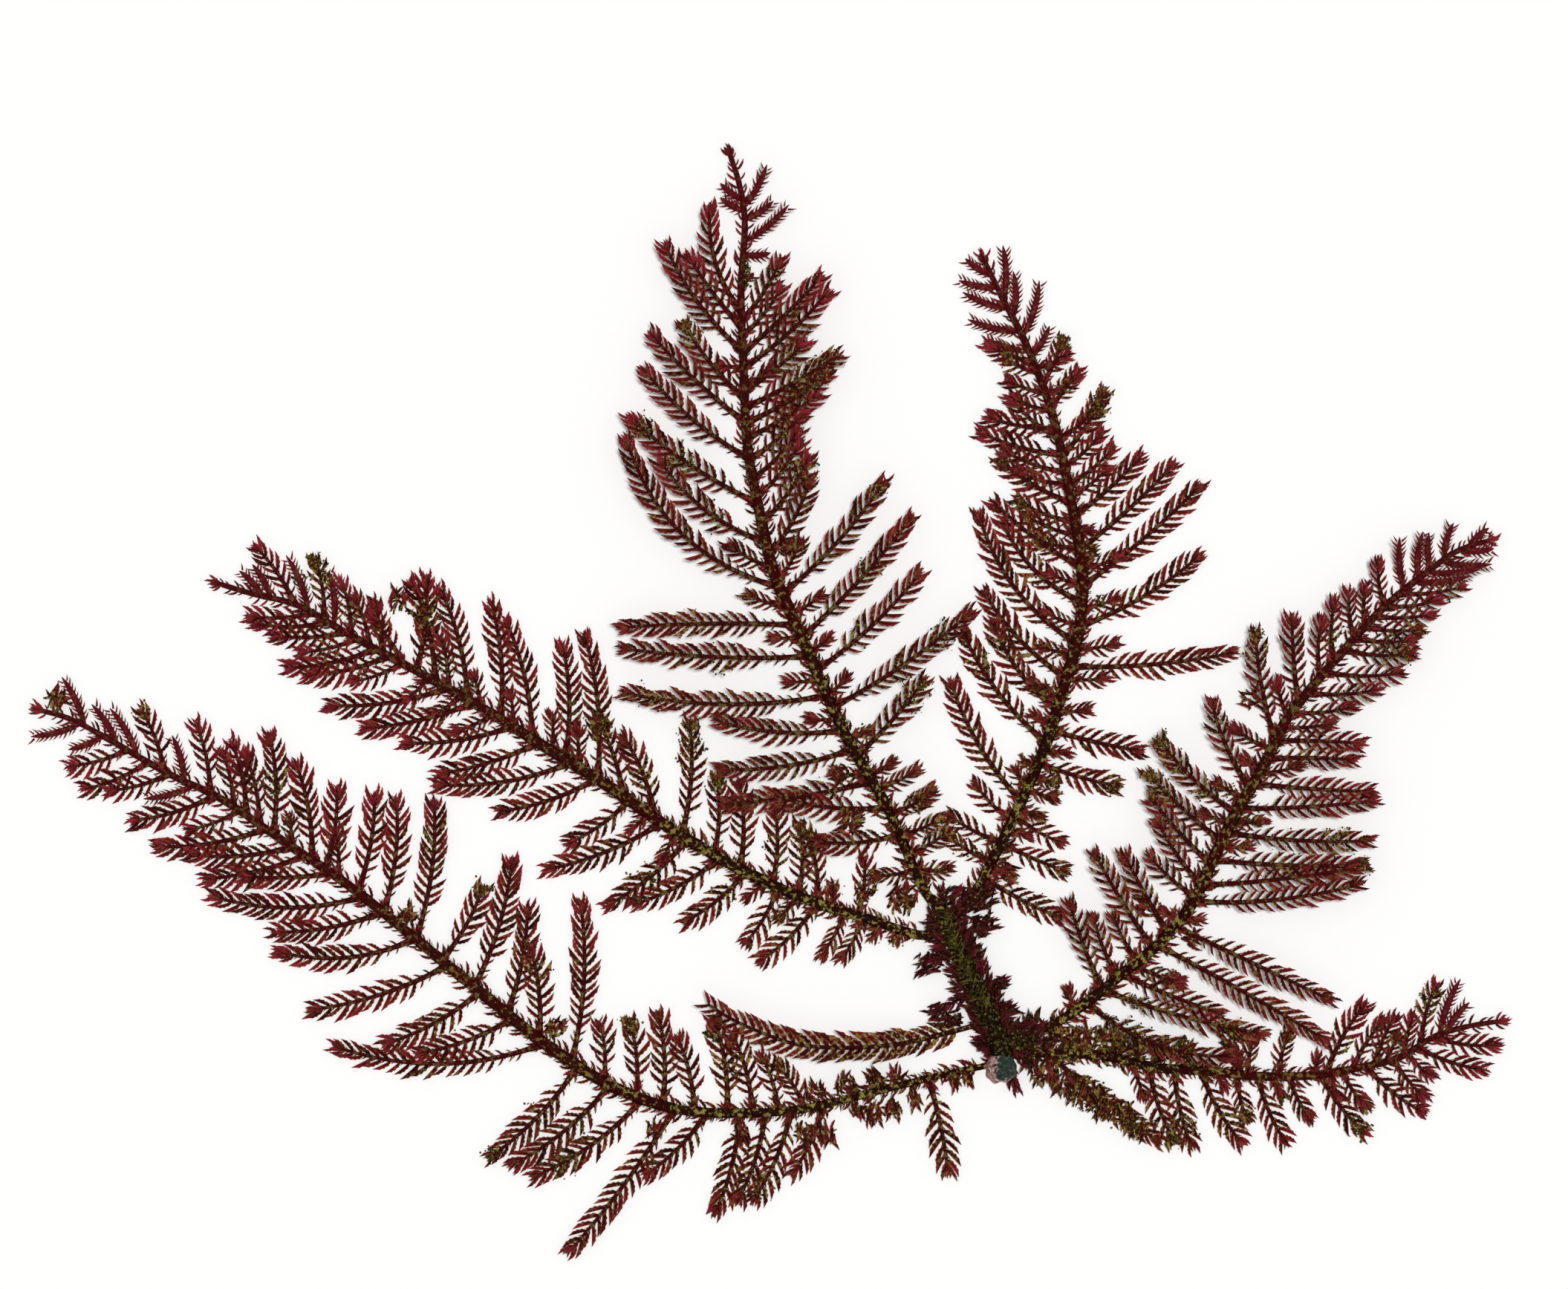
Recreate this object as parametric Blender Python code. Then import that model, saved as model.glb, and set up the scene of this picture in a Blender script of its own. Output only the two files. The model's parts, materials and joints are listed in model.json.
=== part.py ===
"""A dried, pressed fan of the red seaweed Ptilota asplenioides, lying flat.

Frame: +X to the right of the fan, +Y from the holdfast towards the frond tips, +Z up.
The origin is the middle of the holdfast's flat foot, on the surface that the fan lies on.
Lengths in the tables are millimetres; the meshes are built in metres.
"""

import math

import bmesh
import bpy
import numpy as np
from mathutils import Vector
from mathutils.geometry import delaunay_2d_cdt

MM = 0.001

BLADE_THICKNESS = 0.62         # side branches and their leaflets
SPINE_RIDGE = 0.4              # extra thickness along the middle of a frond's main stem
CROSSING_LIFT = 1.35           # how far side branches rise to lie over a neighbour
LIFT_START = 0.8               # from the main stem's middle to where that rise begins
LIFT_RUN = 2.4                 # flat distance that the rise takes
BRANCH_RISE_RUN = 6.0          # the same for the short side branch, from its root
SPINE_WIDTH_AT_ROOT = 0.95
SPINE_WIDTH_AT_TIP = 0.62
RIB_WIDTH_AT_ROOT = 0.66
RIB_WIDTH_AT_TIP = 0.60
LEAFLET_REACH = 1.65           # from the rib's middle to a full-grown leaflet's tip
LEAFLET_LEAN = 1.25            # how far that tip points forward of its foot
LEAFLET_WIDTH = 0.85           # at the rib, with its smallest spines
LEAFLET_PITCH = 4.3            # fewer leaflets than life, each at true size
SHORTEST_TOOTHED = 4.7         # side branches shorter than this are plain blades
PLAIN_BLADE_WIDTH = 1.3        # such a blade at its widest, leaflets included
USUAL_BEND = 0.10
RIDGE_STEP = 5.0
OUTLINE_STEP = 6.0
MERGE = 0.02
LAST_JOINING = 12              # rounds that may join leaflets before they are parted
SMALLEST_GAP = 0.4             # flat area of the smallest gap left between leaflets

STEM_WIDTH = 1.7
STEM_THICKNESS = 1.7
TUFT_THICKNESS = 0.8
FOOT_RADIUS = 1.25
FOOT_THICKNESS = 1.6
FOOT_CENTRE = (0.15, -0.05)
FOOT_SIDES = 24

# Read off the flat fan, in millimetres. A spine is the route of a frond's main stem. A branch
# is where it springs on the spine (by x or by y), its tip's x and y, and, where it isn't the
# usual one, its bend: the bow's handle over the chord, bowed away from the frond's tip.
FAR_LEFT_SPINE = [(-1.5, 0.0), (-5, -0.75), (-10, -2.0), (-15, -3.2), (-20, -3.55), (-25, -3.2),
                  (-30, -1.4), (-35, 1.8), (-40, 5.8), (-45, 9.9), (-50, 13.9), (-55, 17.3),
                  (-60, 20.7), (-64, 22.6), (-68, 24.9), (-71.5, 26.8), (-74.2, 27.6)]
FAR_LEFT_BRANCHES = [
    (-15.2, -17.2, 0.3), (-17.0, -18.4, 1.0), (-18.9, -20.6, 2.6), (-21.0, -22.0, 3.8),
    (-23.3, -24.9, 2.5), (-25.8, -26.3, 4.1), (-28.0, -28.5, 3.6), (-30.5, -30.8, 3.6),
    (-33.0, -32.3, 12.8), (-35.6, -36.2, 9.4), (-38.0, -36.4, 12.5), (-40.3, -37.6, 16.0),
    (-42.8, -39.8, 14.0), (-45.0, -43.6, 20.6), (-47.5, -46.5, 20.7), (-49.7, -48.2, 21.2),
    (-50.9, -51.3, 18.5), (-52.0, -51.1, 21.6), (-53.2, -54.3, 23.6), (-54.6, -54.9, 19.4),
    (-56.0, -56.3, 25.7), (-57.0, -58.2, 24.3), (-58.0, -59.3, 25.3), (-59.2, -60.0, 24.5),
    (-61.0, -62.0, 26.6), (-63.0, -63.8, 25.6), (-64.3, -66.2, 27.6), (-66.6, -68.6, 27.7),
    (-68.0, -70.0, 28.0), (-70.6, -72.3, 30.1),
    (-5.6, -3.9, -8.2, 0.05), (-13.4, -16.0, -8.3), (-16.2, -18.9, -10.2),
    (-18.0, -20.2, -10.4), (-20.0, -21.9, -11.3), (-22.3, -27.2, -8.3),
    (-24.8, -33.2, -14.3, 0.05), (-27.5, -36.0, -8.5, 0.12), (-30.2, -37.5, -7.6),
    (-32.4, -39.3, -7.0), (-34.8, -51.3, 1.6, 0.18), (-37.3, -45.0, 1.0), (-40.0, -47.5, 1.7),
    (-42.4, -53.2, 4.4), (-45.0, -55.7, 8.9, 0.18), (-47.3, -56.0, 10.4),
    (-49.1, -60.8, 13.2, 0.15), (-51.6, -58.5, 14.8, 0.08), (-53.3, -61.3, 14.5, 0.08),
    (-54.7, -62.5, 16.4), (-56.5, -65.0, 17.0), (-58.6, -62.6, 18.3), (-60.3, -67.0, 19.0),
    (-62.2, -66.0, 20.7), (-64.0, -68.9, 21.3), (-65.8, -70.7, 21.4), (-67.2, -71.9, 23.2),
    (-69.0, -71.8, 24.5), (-70.7, -74.7, 25.5)]
LEFT_SPINE = [(-6.2, 10.2), (-10, 11.4), (-15, 13.0), (-20, 15.3), (-25, 18.2), (-30, 21.6),
              (-35, 24.7), (-40, 27.8), (-45, 30.6), (-50, 33.3), (-54, 35.6), (-57.5, 36.5),
              (-60.5, 37.4)]
LEFT_BRANCHES = [
    (-10.9, -10.4, 16.2), (-12.9, -12.9, 14.2), (-14.1, -14.8, 18.2), (-15.6, -15.4, 18.9),
    (-17.5, -17.3, 20.0), (-19.8, -20.1, 22.2), (-22.0, -21.8, 22.5), (-24.3, -23.9, 26.8),
    (-26.3, -29.0, 25.6), (-28.8, -31.0, 26.8), (-31.1, -32.0, 33.4), (-32.4, -32.7, 26.4),
    (-33.6, -33.7, 32.7), (-34.6, -34.6, 27.5), (-36.2, -38.1, 34.6), (-37.5, -37.8, 29.0),
    (-38.6, -39.2, 35.9), (-39.9, -40.7, 30.5), (-41.0, -43.1, 36.9), (-42.3, -43.1, 33.3),
    (-43.6, -45.3, 37.5), (-44.8, -44.2, 37.9), (-46.2, -48.8, 35.0), (-47.5, -48.3, 36.0),
    (-48.8, -49.8, 36.4), (-50.0, -50.8, 37.7), (-51.2, -51.7, 38.3), (-52.2, -52.8, 39.4),
    (-53.2, -55.0, 39.5), (-54.2, -57.4, 40.2), (-56.0, -57.6, 38.8), (-57.0, -58.6, 38.3),
    (-7.8, -8.0, 9.6), (-9.3, -9.9, 9.8), (-10.6, -12.3, 8.2), (-12.0, -13.8, 8.5),
    (-13.8, -18.5, 8.1), (-15.4, -17.2, 11.4), (-17.2, -19.7, 9.4), (-18.0, -19.7, 13.0),
    (-19.3, -24.4, 11.1), (-21.5, -28.3, 12.5), (-24.0, -30.3, 12.4), (-25.0, -26.2, 15.8),
    (-26.0, -35.1, 15.2), (-27.0, -28.7, 18.2), (-28.5, -33.3, 17.2), (-31.0, -38.6, 19.7),
    (-33.0, -43.5, 21.8, 0.12), (-35.4, -43.3, 22.6, 0.08), (-37.7, -46.0, 25.0),
    (-39.0, -42.2, 25.9), (-40.3, -49.1, 26.1, 0.08), (-41.3, -43.9, 27.1),
    (-42.7, -51.8, 27.9), (-44.2, -46.0, 28.2), (-45.8, -50.0, 29.7), (-46.9, -53.6, 30.2),
    (-48.0, -55.1, 30.8), (-49.4, -54.0, 32.0), (-50.6, -56.2, 33.3), (-51.8, -57.4, 34.2),
    (-53.0, -58.0, 34.8)]
CENTRAL_SPINE = [(-5.6, 13.4), (-6.5, 15.2), (-8.6, 20), (-11.5, 25), (-13.6, 29.5),
                 (-15.2, 33.2), (-17.3, 38), (-18.5, 43), (-19.4, 48), (-19.7, 54),
                 (-19.9, 60), (-19.6, 65), (-20.0, 68), (-20.8, 70.6)]
CENTRAL_BRANCHES = [
    (15.2, -9.8, 14.8), (18.1, -14.1, 17.4), (19.8, -17.5, 21.0), (21.8, -21.4, 20.3, 0.05),
    (22.4, -12.9, 22.8), (24.4, -21.7, 23.0), (25.8, -21.8, 26.7), (26.9, -14.8, 26.9),
    (28.6, -29.0, 28.9), (29.9, -16.5, 29.8), (31.6, -29.1, 32.3, 0.05), (33.0, -17.7, 33.2),
    (34.2, -29.2, 33.9, -0.03), (35.6, -19.7, 36.6), (37.2, -28.8, 48.6, 0.28),
    (38.7, -20.9, 40.4), (40.6, -26.3, 47.0, 0.18), (43.5, -28.6, 50.2, 0.08),
    (46.8, -27.5, 53.9), (49.5, -26.9, 56.6, 0.06), (51.5, -24.3, 57.4), (53.8, -21.9, 54.3),
    (55.0, -25.8, 63.5, 0.12), (57.0, -24.0, 62.6, 0.06), (58.3, -22.3, 66.4, 0.2),
    (65.9, -21.5, 67.1), (66.8, -21.5, 68.2),
    (15.3, -3.8, 15.4), (16.4, -3.7, 18.5), (17.8, -4.4, 19.3), (19.5, -5.0, 21.5),
    (21.5, -6.2, 23.1), (22.6, -8.1, 23.6), (24.0, -5.7, 30.0, 0.05), (25.5, -9.9, 25.9),
    (27.8, -2.1, 35.2, 0.06), (28.8, -11.7, 30.3), (30.6, -6.0, 38.3, 0.08),
    (32.2, -13.0, 33.3), (33.4, -6.8, 42.4, 0.05), (35.2, -13.6, 36.5),
    (36.6, -8.8, 45.3, 0.08), (37.6, -15.3, 40.7), (39.5, -14.5, 45.5), (42.2, -14.6, 47.2),
    (43.8, -15.3, 48.2), (45.4, -15.4, 49.2), (46.8, -15.0, 50.6), (48.3, -13.8, 52.0, 0.06),
    (49.7, -12.9, 53.6, 0.06), (51.0, -12.3, 55.0, 0.05), (52.2, -14.8, 56.0, 0.05),
    (53.0, -17.4, 53.9), (54.0, -13.1, 59.9, 0.08), (55.4, -13.7, 61.0, 0.05),
    (56.5, -16.7, 60.3), (57.7, -16.8, 62.4), (60.5, -18.9, 61.3), (62.7, -17.6, 62.8),
    (63.8, -16.2, 66.5), (65.2, -17.4, 66.8), (66.4, -17.9, 69.6)]
RIGHT_CENTRE_SPINE = [(-2.3, 12.6), (-1.0, 15.0), (1.5, 20), (3.65, 25), (5.2, 30),
                      (6.3, 34.5), (6.35, 39), (5.5, 44), (4.6, 48.5), (3.6, 52), (2.0, 56),
                      (0.2, 59.5), (-1.3, 62.6)]
RIGHT_CENTRE_BRANCHES = [
    (15.9, -4.0, 17.9), (17.2, -3.9, 19.5), (18.9, -2.0, 22.1), (20.4, -3.8, 30.0, 0.12),
    (21.6, 1.1, 23.2), (23.7, 1.6, 23.6), (25.2, -2.9, 33.8, 0.12), (26.6, 2.4, 27.4),
    (27.7, -0.5, 34.4, 0.15), (28.6, 2.2, 29.8), (30.1, -1.2, 36.7, 0.12), (31.7, 3.0, 32.6),
    (32.8, -1.6, 42.8, 0.2), (34.2, 3.4, 35.2), (35.7, 0.2, 42.2, 0.2), (37.2, 3.6, 38.3),
    (38.4, -0.5, 43.7, 0.08), (39.8, 2.8, 40.8), (41.0, 2.0, 42.6), (42.2, 1.3, 43.8),
    (43.5, 0.0, 46.9), (44.9, 1.2, 46.0), (46.0, 0.3, 47.6), (47.1, -1.5, 49.0),
    (48.3, 0.8, 51.7), (49.4, -1.0, 50.2), (50.6, 0.7, 51.8), (52.0, 0.4, 53.1),
    (53.4, 0.2, 54.8), (54.3, -1.1, 55.8), (55.4, -1.1, 56.2), (56.8, -2.4, 57.7),
    (58.6, -2.8, 59.8), (60.0, -3.1, 60.7), (61.0, -2.6, 62.4),
    (14.8, 4.8, 11.5, 0.05), (15.6, 0.8, 15.0), (17.4, 5.3, 15.1, 0.05), (18.3, 2.6, 17.8),
    (19.3, 4.9, 17.3), (20.0, 3.4, 19.3), (21.5, 4.4, 20.8), (22.4, 4.5, 22.0),
    (23.5, 9.2, 21.7, 0.05), (24.7, 5.5, 24.3), (26.0, 11.0, 24.4, 0.03), (27.3, 7.1, 27.6),
    (30.0, 8.5, 30.1), (31.1, 18.1, 32.0, 0.06), (32.5, 9.2, 32.8), (34.0, 15.6, 39.6),
    (35.6, 9.2, 36.3), (37.2, 15.6, 45.0, 0.05), (38.5, 9.6, 39.5), (39.9, 13.5, 46.6, 0.05),
    (41.3, 7.3, 41.4), (42.4, 11.0, 47.2, 0.06), (43.8, 8.5, 46.4), (45.0, 8.9, 47.9),
    (46.2, 8.0, 49.1), (47.3, 8.1, 52.1), (48.5, 7.7, 51.0), (50.8, 6.2, 53.9, 0.05),
    (52.0, 5.9, 53.2), (52.9, 4.9, 56.2), (54.0, 5.4, 55.0), (55.0, 3.9, 57.2),
    (56.4, 3.1, 60.7, 0.12), (57.9, 1.1, 61.4, 0.12), (59.2, 0.3, 63.4)]
RIGHT_SPINE = [(3.4, 2.8), (6.5, 4.8), (9.5, 7.2), (12.5, 9.7), (15.0, 12.8), (16.5, 16.0),
               (18.3, 19.6), (20.5, 23.4), (22.3, 27.0), (25.5, 30.9), (29.4, 35.2),
               (33.0, 38.2), (35.5, 39.9), (38.0, 40.7)]
RIGHT_BRANCHES = [
    (4.4, 5.3, 6.3), (6.0, 5.4, 12.8, 0.06), (7.0, 7.2, 11.8), (8.2, 8.7, 11.9),
    (9.2, 7.2, 16.8, 0.05), (10.2, 9.5, 16.6, 0.03), (11.4, 12.3, 12.2), (13.0, 11.4, 16.5),
    (14.0, 12.1, 19.2), (15.8, 11.6, 20.9, 0.06), (17.4, 11.3, 22.8, 0.05),
    (18.8, 15.4, 19.8), (19.7, 12.2, 25.4), (20.8, 16.6, 22.1), (21.6, 16.3, 28.4, 0.12),
    (23.2, 18.7, 24.0), (24.5, 18.0, 26.3), (25.3, 19.7, 33.6, 0.08), (27.0, 21.4, 29.9),
    (28.3, 22.5, 34.8, 0.05), (30.0, 24.8, 34.6), (31.4, 25.8, 36.2), (33.0, 26.9, 37.0),
    (34.2, 28.3, 37.4), (35.4, 29.1, 39.1), (36.9, 30.8, 40.9), (37.8, 32.6, 41.3),
    (38.4, 33.1, 41.2), (39.2, 35.0, 42.0), (40.2, 37.8, 41.6),
    (5.0, 17.9, 0.9, 0.2), (6.0, 20.5, 2.6, 0.05), (7.2, 17.0, 4.2, 0.03), (7.9, 14.3, 6.6),
    (9.3, 25.2, 2.1, -0.02), (10.9, 25.6, 5.2, 0.0), (11.6, 15.8, 11.4),
    (12.7, 27.9, 14.2, 0.08), (14.2, 27.4, 15.4, 0.03), (16.1, 28.4, 15.6, 0.03),
    (17.0, 19.5, 17.1), (18.0, 28.6, 17.5, 0.05), (18.9, 20.5, 19.1), (19.8, 29.0, 20.6, 0.03),
    (21.7, 28.8, 21.3, 0.02), (22.8, 23.3, 23.4), (23.8, 27.5, 23.7, -0.05),
    (25.3, 28.0, 25.0, -0.03), (26.4, 25.7, 26.6), (27.5, 27.4, 27.9), (28.9, 29.3, 29.2),
    (30.3, 31.1, 30.5), (32.0, 32.0, 31.9), (33.0, 32.3, 33.0), (34.0, 32.5, 33.8),
    (34.9, 33.5, 35.0), (35.7, 34.0, 36.1), (36.7, 35.7, 37.1), (37.5, 36.3, 37.9),
    (38.2, 37.2, 38.5), (39.0, 38.0, 38.8), (39.9, 38.2, 40.0)]
LOWER_RIGHT_SPINE = [(3.4, 1.1), (8, 0.9), (12, 0.0), (16, -0.3), (20, -0.7), (24, -0.65),
                     (28, 0.0), (31, 0.8), (33.5, 2.3), (36, 3.1), (39.0, 3.6)]
LOWER_RIGHT_BRANCHES = [
    (18.5, 18.6, 1.1), (19.4, 19.7, 2.4), (21.6, 22.4, 2.8), (24.6, 24.7, 1.0),
    (25.4, 28.3, 4.9), (27.4, 29.7, 3.6), (29.0, 30.6, 3.9), (29.9, 30.9, 2.4),
    (31.2, 32.0, 4.0), (32.6, 33.8, 6.5), (33.9, 35.6, 6.8), (34.5, 36.3, 5.0),
    (4.0, 12.5, -5.8, 0.05), (10.3, 11.3, -2.3), (11.7, 13.6, -5.8), (13.7, 14.9, -6.1),
    (15.7, 18.8, -5.9), (17.0, 17.6, -1.8), (18.3, 19.2, -4.2), (20.2, 22.2, -5.9),
    (21.3, 21.9, -2.3), (22.3, 24.1, -4.1), (24.7, 28.4, -5.2), (25.6, 26.3, -2.4),
    (26.6, 28.4, -3.1), (28.5, 32.8, -3.5), (30.5, 33.1, -2.5), (31.6, 33.5, -0.8),
    (32.4, 37.5, -0.2), (33.6, 38.5, 1.7)]

# Name, spine, branches, the axis that branches are listed by, and whether its side branches
# ride over the neighbouring fronds.
FRONDS = [
    ("far_left_frond", FAR_LEFT_SPINE, FAR_LEFT_BRANCHES, 0, False),
    ("left_frond", LEFT_SPINE, LEFT_BRANCHES, 0, False),
    ("central_frond", CENTRAL_SPINE, CENTRAL_BRANCHES, 1, True),
    ("right_centre_frond", RIGHT_CENTRE_SPINE, RIGHT_CENTRE_BRANCHES, 1, False),
    ("right_frond", RIGHT_SPINE, RIGHT_BRANCHES, 1, True),
    ("lower_right_frond", LOWER_RIGHT_SPINE, LOWER_RIGHT_BRANCHES, 0, False)]

# The short side branch bears its leaflets straight on its main stem.
SIDE_BRANCH_ROUTE = [(-3.0, 2.9), (-5, 2.4), (-8, 1.8), (-12, 1.55), (-15.5, 1.8), (-18, 2.6),
                     (-20.5, 3.7), (-22.6, 5.0)]

# The old stem from the holdfast to the fork, its arms, and the tufts along it.
STEM_ROUTE = [(0.2, 1.9), (-1.0, 4.5), (-2.3, 7.3), (-3.6, 10.0), (-4.0, 12.2)]
STEM_ARMS = [((-3.5, 9.8), (-5.6, 10.6)), ((-4.0, 11.0), (-5.2, 12.9)),
             ((-3.9, 10.8), (-2.9, 12.1)), ((0.1, 2.2), (2.8, 1.9))]
STEM_TUFTS = [((-3.0, 8.4), (-5.2, 8.4)), ((-1.2, 4.8), (-3.6, 4.4)),
              ((-2.6, 8.0), (-1.0, 8.8)), ((-1.6, 5.8), (0.2, 6.5)),
              ((-0.6, 3.8), (0.9, 4.4)), ((-3.6, 10.2), (-1.6, 10.8))]

# Linear colours: wine-red fronds, the olive-crusted old stem and the pinkish holdfast crust.
FROND_COLOUR = (0.115, 0.018, 0.028, 1.0)
STEM_COLOUR = (0.050, 0.028, 0.014, 1.0)
CRUST_COLOUR = (0.392, 0.212, 0.205, 1.0)


def clear_scene():
    """Remove every object, so that the file holds the specimen alone."""
    for thing in list(bpy.data.objects):
        bpy.data.objects.remove(thing, do_unlink=True)


def dried_thallus(name, colour, roughness):
    """Return a plain matt material for dried seaweed."""
    material = bpy.data.materials.new(name)
    material.use_nodes = True
    shader = material.node_tree.nodes["Principled BSDF"]
    shader.inputs["Base Color"].default_value = colour
    shader.inputs["Roughness"].default_value = roughness
    shader.inputs["Metallic"].default_value = 0.0
    return material


def smooth_route(points, samples=10):
    """Return points and distances along a smooth curve through the given points."""
    knots = np.array(points, dtype=float)
    padded = np.vstack([2 * knots[0] - knots[1], knots, 2 * knots[-1] - knots[-2]])
    route = []
    for i in range(len(knots) - 1):
        before, start, end, after = padded[i:i + 4]
        for u in np.arange(samples) / samples:
            route.append(0.5 * (2 * start + (end - before) * u
                                + (2 * before - 5 * start + 4 * end - after) * u ** 2
                                + (3 * start - before - 3 * end + after) * u ** 3))
    route.append(knots[-1])
    route = np.array(route)
    steps = np.linalg.norm(np.diff(route, axis=0), axis=1)
    return route, np.concatenate([[0.0], np.cumsum(steps)])


def bowed_route(root, tip, bow, samples=12):
    """Return a bowed route from root to tip; bow moves its middle handle."""
    middle = (root + tip) / 2 + bow
    u = np.linspace(0, 1, samples + 1)[:, None]
    route = (1 - u) ** 2 * root + 2 * u * (1 - u) * middle + u ** 2 * tip
    steps = np.linalg.norm(np.diff(route, axis=0), axis=1)
    return route, np.concatenate([[0.0], np.cumsum(steps)])


def at(route, distance):
    """Return the point, the forward direction and the left-hand direction there."""
    points, lengths = route
    distance = min(max(distance, 0.0), lengths[-1])
    point = np.array([np.interp(distance, lengths, points[:, axis]) for axis in (0, 1)])
    i = min(max(int(np.searchsorted(lengths, distance)), 1), len(points) - 1)
    forward = points[i] - points[i - 1]
    forward = forward / np.linalg.norm(forward)
    return point, forward, np.array([-forward[1], forward[0]])


def spine_half_width(share):
    """Return half the main stem's width at a share of its length."""
    return (SPINE_WIDTH_AT_ROOT + (SPINE_WIDTH_AT_TIP - SPINE_WIDTH_AT_ROOT) * share) / 2


def leaflet_size(share, length):
    """Return how large the leaflets are at a share of a side branch's length."""
    growth = 0.40 + 0.60 * math.sin(math.pi * min(1.0, 0.12 + 0.62 * share))
    return growth * min(1.0, 0.30 + 0.13 * length)


def branch_outline(route, foot, pitch=LEAFLET_PITCH, first_share=0.16):
    """Return a side branch's outline: its foot, leaflets up one side and down the other."""
    length = route[1][-1]
    bare = first_share * length
    pairs = 0
    if length >= SHORTEST_TOOTHED:
        pairs = max(1, round((length - bare) / pitch))
    sides = {1: [], -1: []}
    for side, delay in ((1, 0.0), (-1, 0.45)):
        for i in range(pairs):
            station = bare + (length - bare) * (i + delay) / pairs
            share = station / length
            size = leaflet_size(share, length)
            rib = (RIB_WIDTH_AT_ROOT + (RIB_WIDTH_AT_TIP - RIB_WIDTH_AT_ROOT) * share) / 2
            point, _, left = at(route, station)
            sides[side].append(point + side * left * rib)
            tip_station = min(station + LEAFLET_LEAN * size, length - 0.1)
            point, _, left = at(route, tip_station)
            sides[side].append(point + side * left * (LEAFLET_REACH * size))
            if station + LEAFLET_WIDTH < length - 0.4:
                point, _, left = at(route, station + LEAFLET_WIDTH)
                sides[side].append(point + side * left * rib)
        if not pairs:
            point, _, left = at(route, 0.45 * length)
            half = min(PLAIN_BLADE_WIDTH / 2, max(RIB_WIDTH_AT_ROOT / 2, 0.17 * length))
            sides[side].append(point + side * left * half)
    right_foot, left_foot = foot
    tip = [at(route, length)[0]]
    return [left_foot] + sides[1] + tip + sides[-1][::-1] + [right_foot]


def strip_outline(route, stations, half_width):
    """Return a tapering strip's outline, with corners at the stations of each side."""
    length = route[1][-1]
    edges = {}
    for side in (1, -1):
        edges[side] = []
        for station in sorted(stations[side]):
            point, _, left = at(route, station)
            edges[side].append(point + side * left * half_width(station / length))
    return edges[1] + [at(route, length)[0]] + edges[-1][::-1]


def frond_outlines(spine, branches, axis):
    """Return a frond's outlines, its main stem and then its side branches, and its ridge."""
    points, lengths = spine
    length = lengths[-1]
    plain = list(np.arange(0.0, length - 1.0, OUTLINE_STEP))
    stations = {1: list(plain), -1: list(plain)}
    outlines = []
    for spring, tip_x, tip_y, *given_bend in branches:
        tip = np.array([tip_x, tip_y])
        bend = given_bend[0] if given_bend else USUAL_BEND
        nearest = int(np.argmin(np.abs(points[:, axis] - spring)))
        station = min(lengths[nearest], length - 0.6)
        point, forward, left = at(spine, station)
        chord = tip - point
        side = 1 if np.dot(chord, left) > 0 else -1
        across = np.array([-chord[1], chord[0]])
        if np.dot(across, forward) > 0:
            across = -across
        slant = abs(np.dot(left, chord)) / np.linalg.norm(chord)
        half = RIB_WIDTH_AT_ROOT / 2 / max(0.6, slant)
        feet = []
        for offset in (half * side, -half * side):
            place = min(max(station + offset, 0.0), length - 0.1)
            stations[side].append(place)
            edge_point, _, edge_left = at(spine, place)
            feet.append(edge_point + side * edge_left * spine_half_width(place / length))
        route = bowed_route(point, tip, bend * across)
        outlines.append(branch_outline(route, (feet[0], feet[1])))
    outlines.insert(0, strip_outline(spine, stations, spine_half_width))
    ridge = [at(spine, s)[0] for s in np.arange(0.6, length - 1.0, RIDGE_STEP)]
    return outlines, ridge


def smooth_rise(distance, start, run):
    """Return the lift at a distance, easing from nothing to the full crossing lift."""
    share = min(max((distance - start) / run, 0.0), 1.0)
    return CROSSING_LIFT * share * share * (3 - 2 * share)


def slope_allowance(distance, start, run):
    """Return the factor on the upright thickness that keeps a slope's own thickness."""
    share = min(max((distance - start) / run, 0.0), 1.0)
    slope = CROSSING_LIFT * 6 * share * (1 - share) / run
    return math.hypot(1.0, slope)


def signed_area(outline):
    """Return an outline's area, positive where it runs anticlockwise."""
    corners = np.array(outline)
    onward = np.roll(corners, -1, axis=0)
    return float(np.sum(corners[:, 0] * onward[:, 1] - corners[:, 1] * onward[:, 0])) / 2


def winds_around(outline, places):
    """Return which places an outline winds around."""
    turns = np.zeros(len(places), dtype=int)
    for start, end in zip(outline, np.roll(outline, -1, axis=0)):
        left = ((end[0] - start[0]) * (places[:, 1] - start[1])
                - (end[1] - start[1]) * (places[:, 0] - start[0]))
        rising = (start[1] <= places[:, 1]) & (places[:, 1] < end[1])
        falling = (end[1] <= places[:, 1]) & (places[:, 1] < start[1])
        turns += (rising & (left > 0)).astype(int) - (falling & (left < 0)).astype(int)
    return turns != 0


def union_of(outlines, ridge):
    """Return the corners and triangles of the outlines' flat union."""
    corners = []
    faces = []
    for outline in outlines:
        if signed_area(outline) < 0:
            outline = outline[::-1]
        faces.append(list(range(len(corners), len(corners) + len(outline))))
        corners.extend(Vector(np.round(point, 2)) for point in outline)
    first = len(corners)
    corners.extend(Vector(np.round(point, 2)) for point in ridge)
    edges = [(first + i, first + i + 1) for i in range(len(ridge) - 1)]
    found, _, triangles, _, _, _ = delaunay_2d_cdt(corners, edges, faces, 0, MERGE, True)
    points = [np.array(point) for point in found]
    centres = np.array([sum(points[i] for i in t) / 3 for t in triangles])
    inside = np.zeros(len(centres), dtype=bool)
    for outline in outlines:
        inside |= winds_around(np.array(outline), centres)
    kept = [tuple(t) for t, held in zip(triangles, inside) if held]
    empty = [tuple(t) for t, held in zip(triangles, inside) if not held]
    kept = fill_small_gaps(points, kept, empty)
    return points, kept


def edges_of(triangle):
    """Return a triangle's three edges, each with its lower corner first."""
    return [tuple(sorted((triangle[i], triangle[(i + 1) % 3]))) for i in range(3)]


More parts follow.
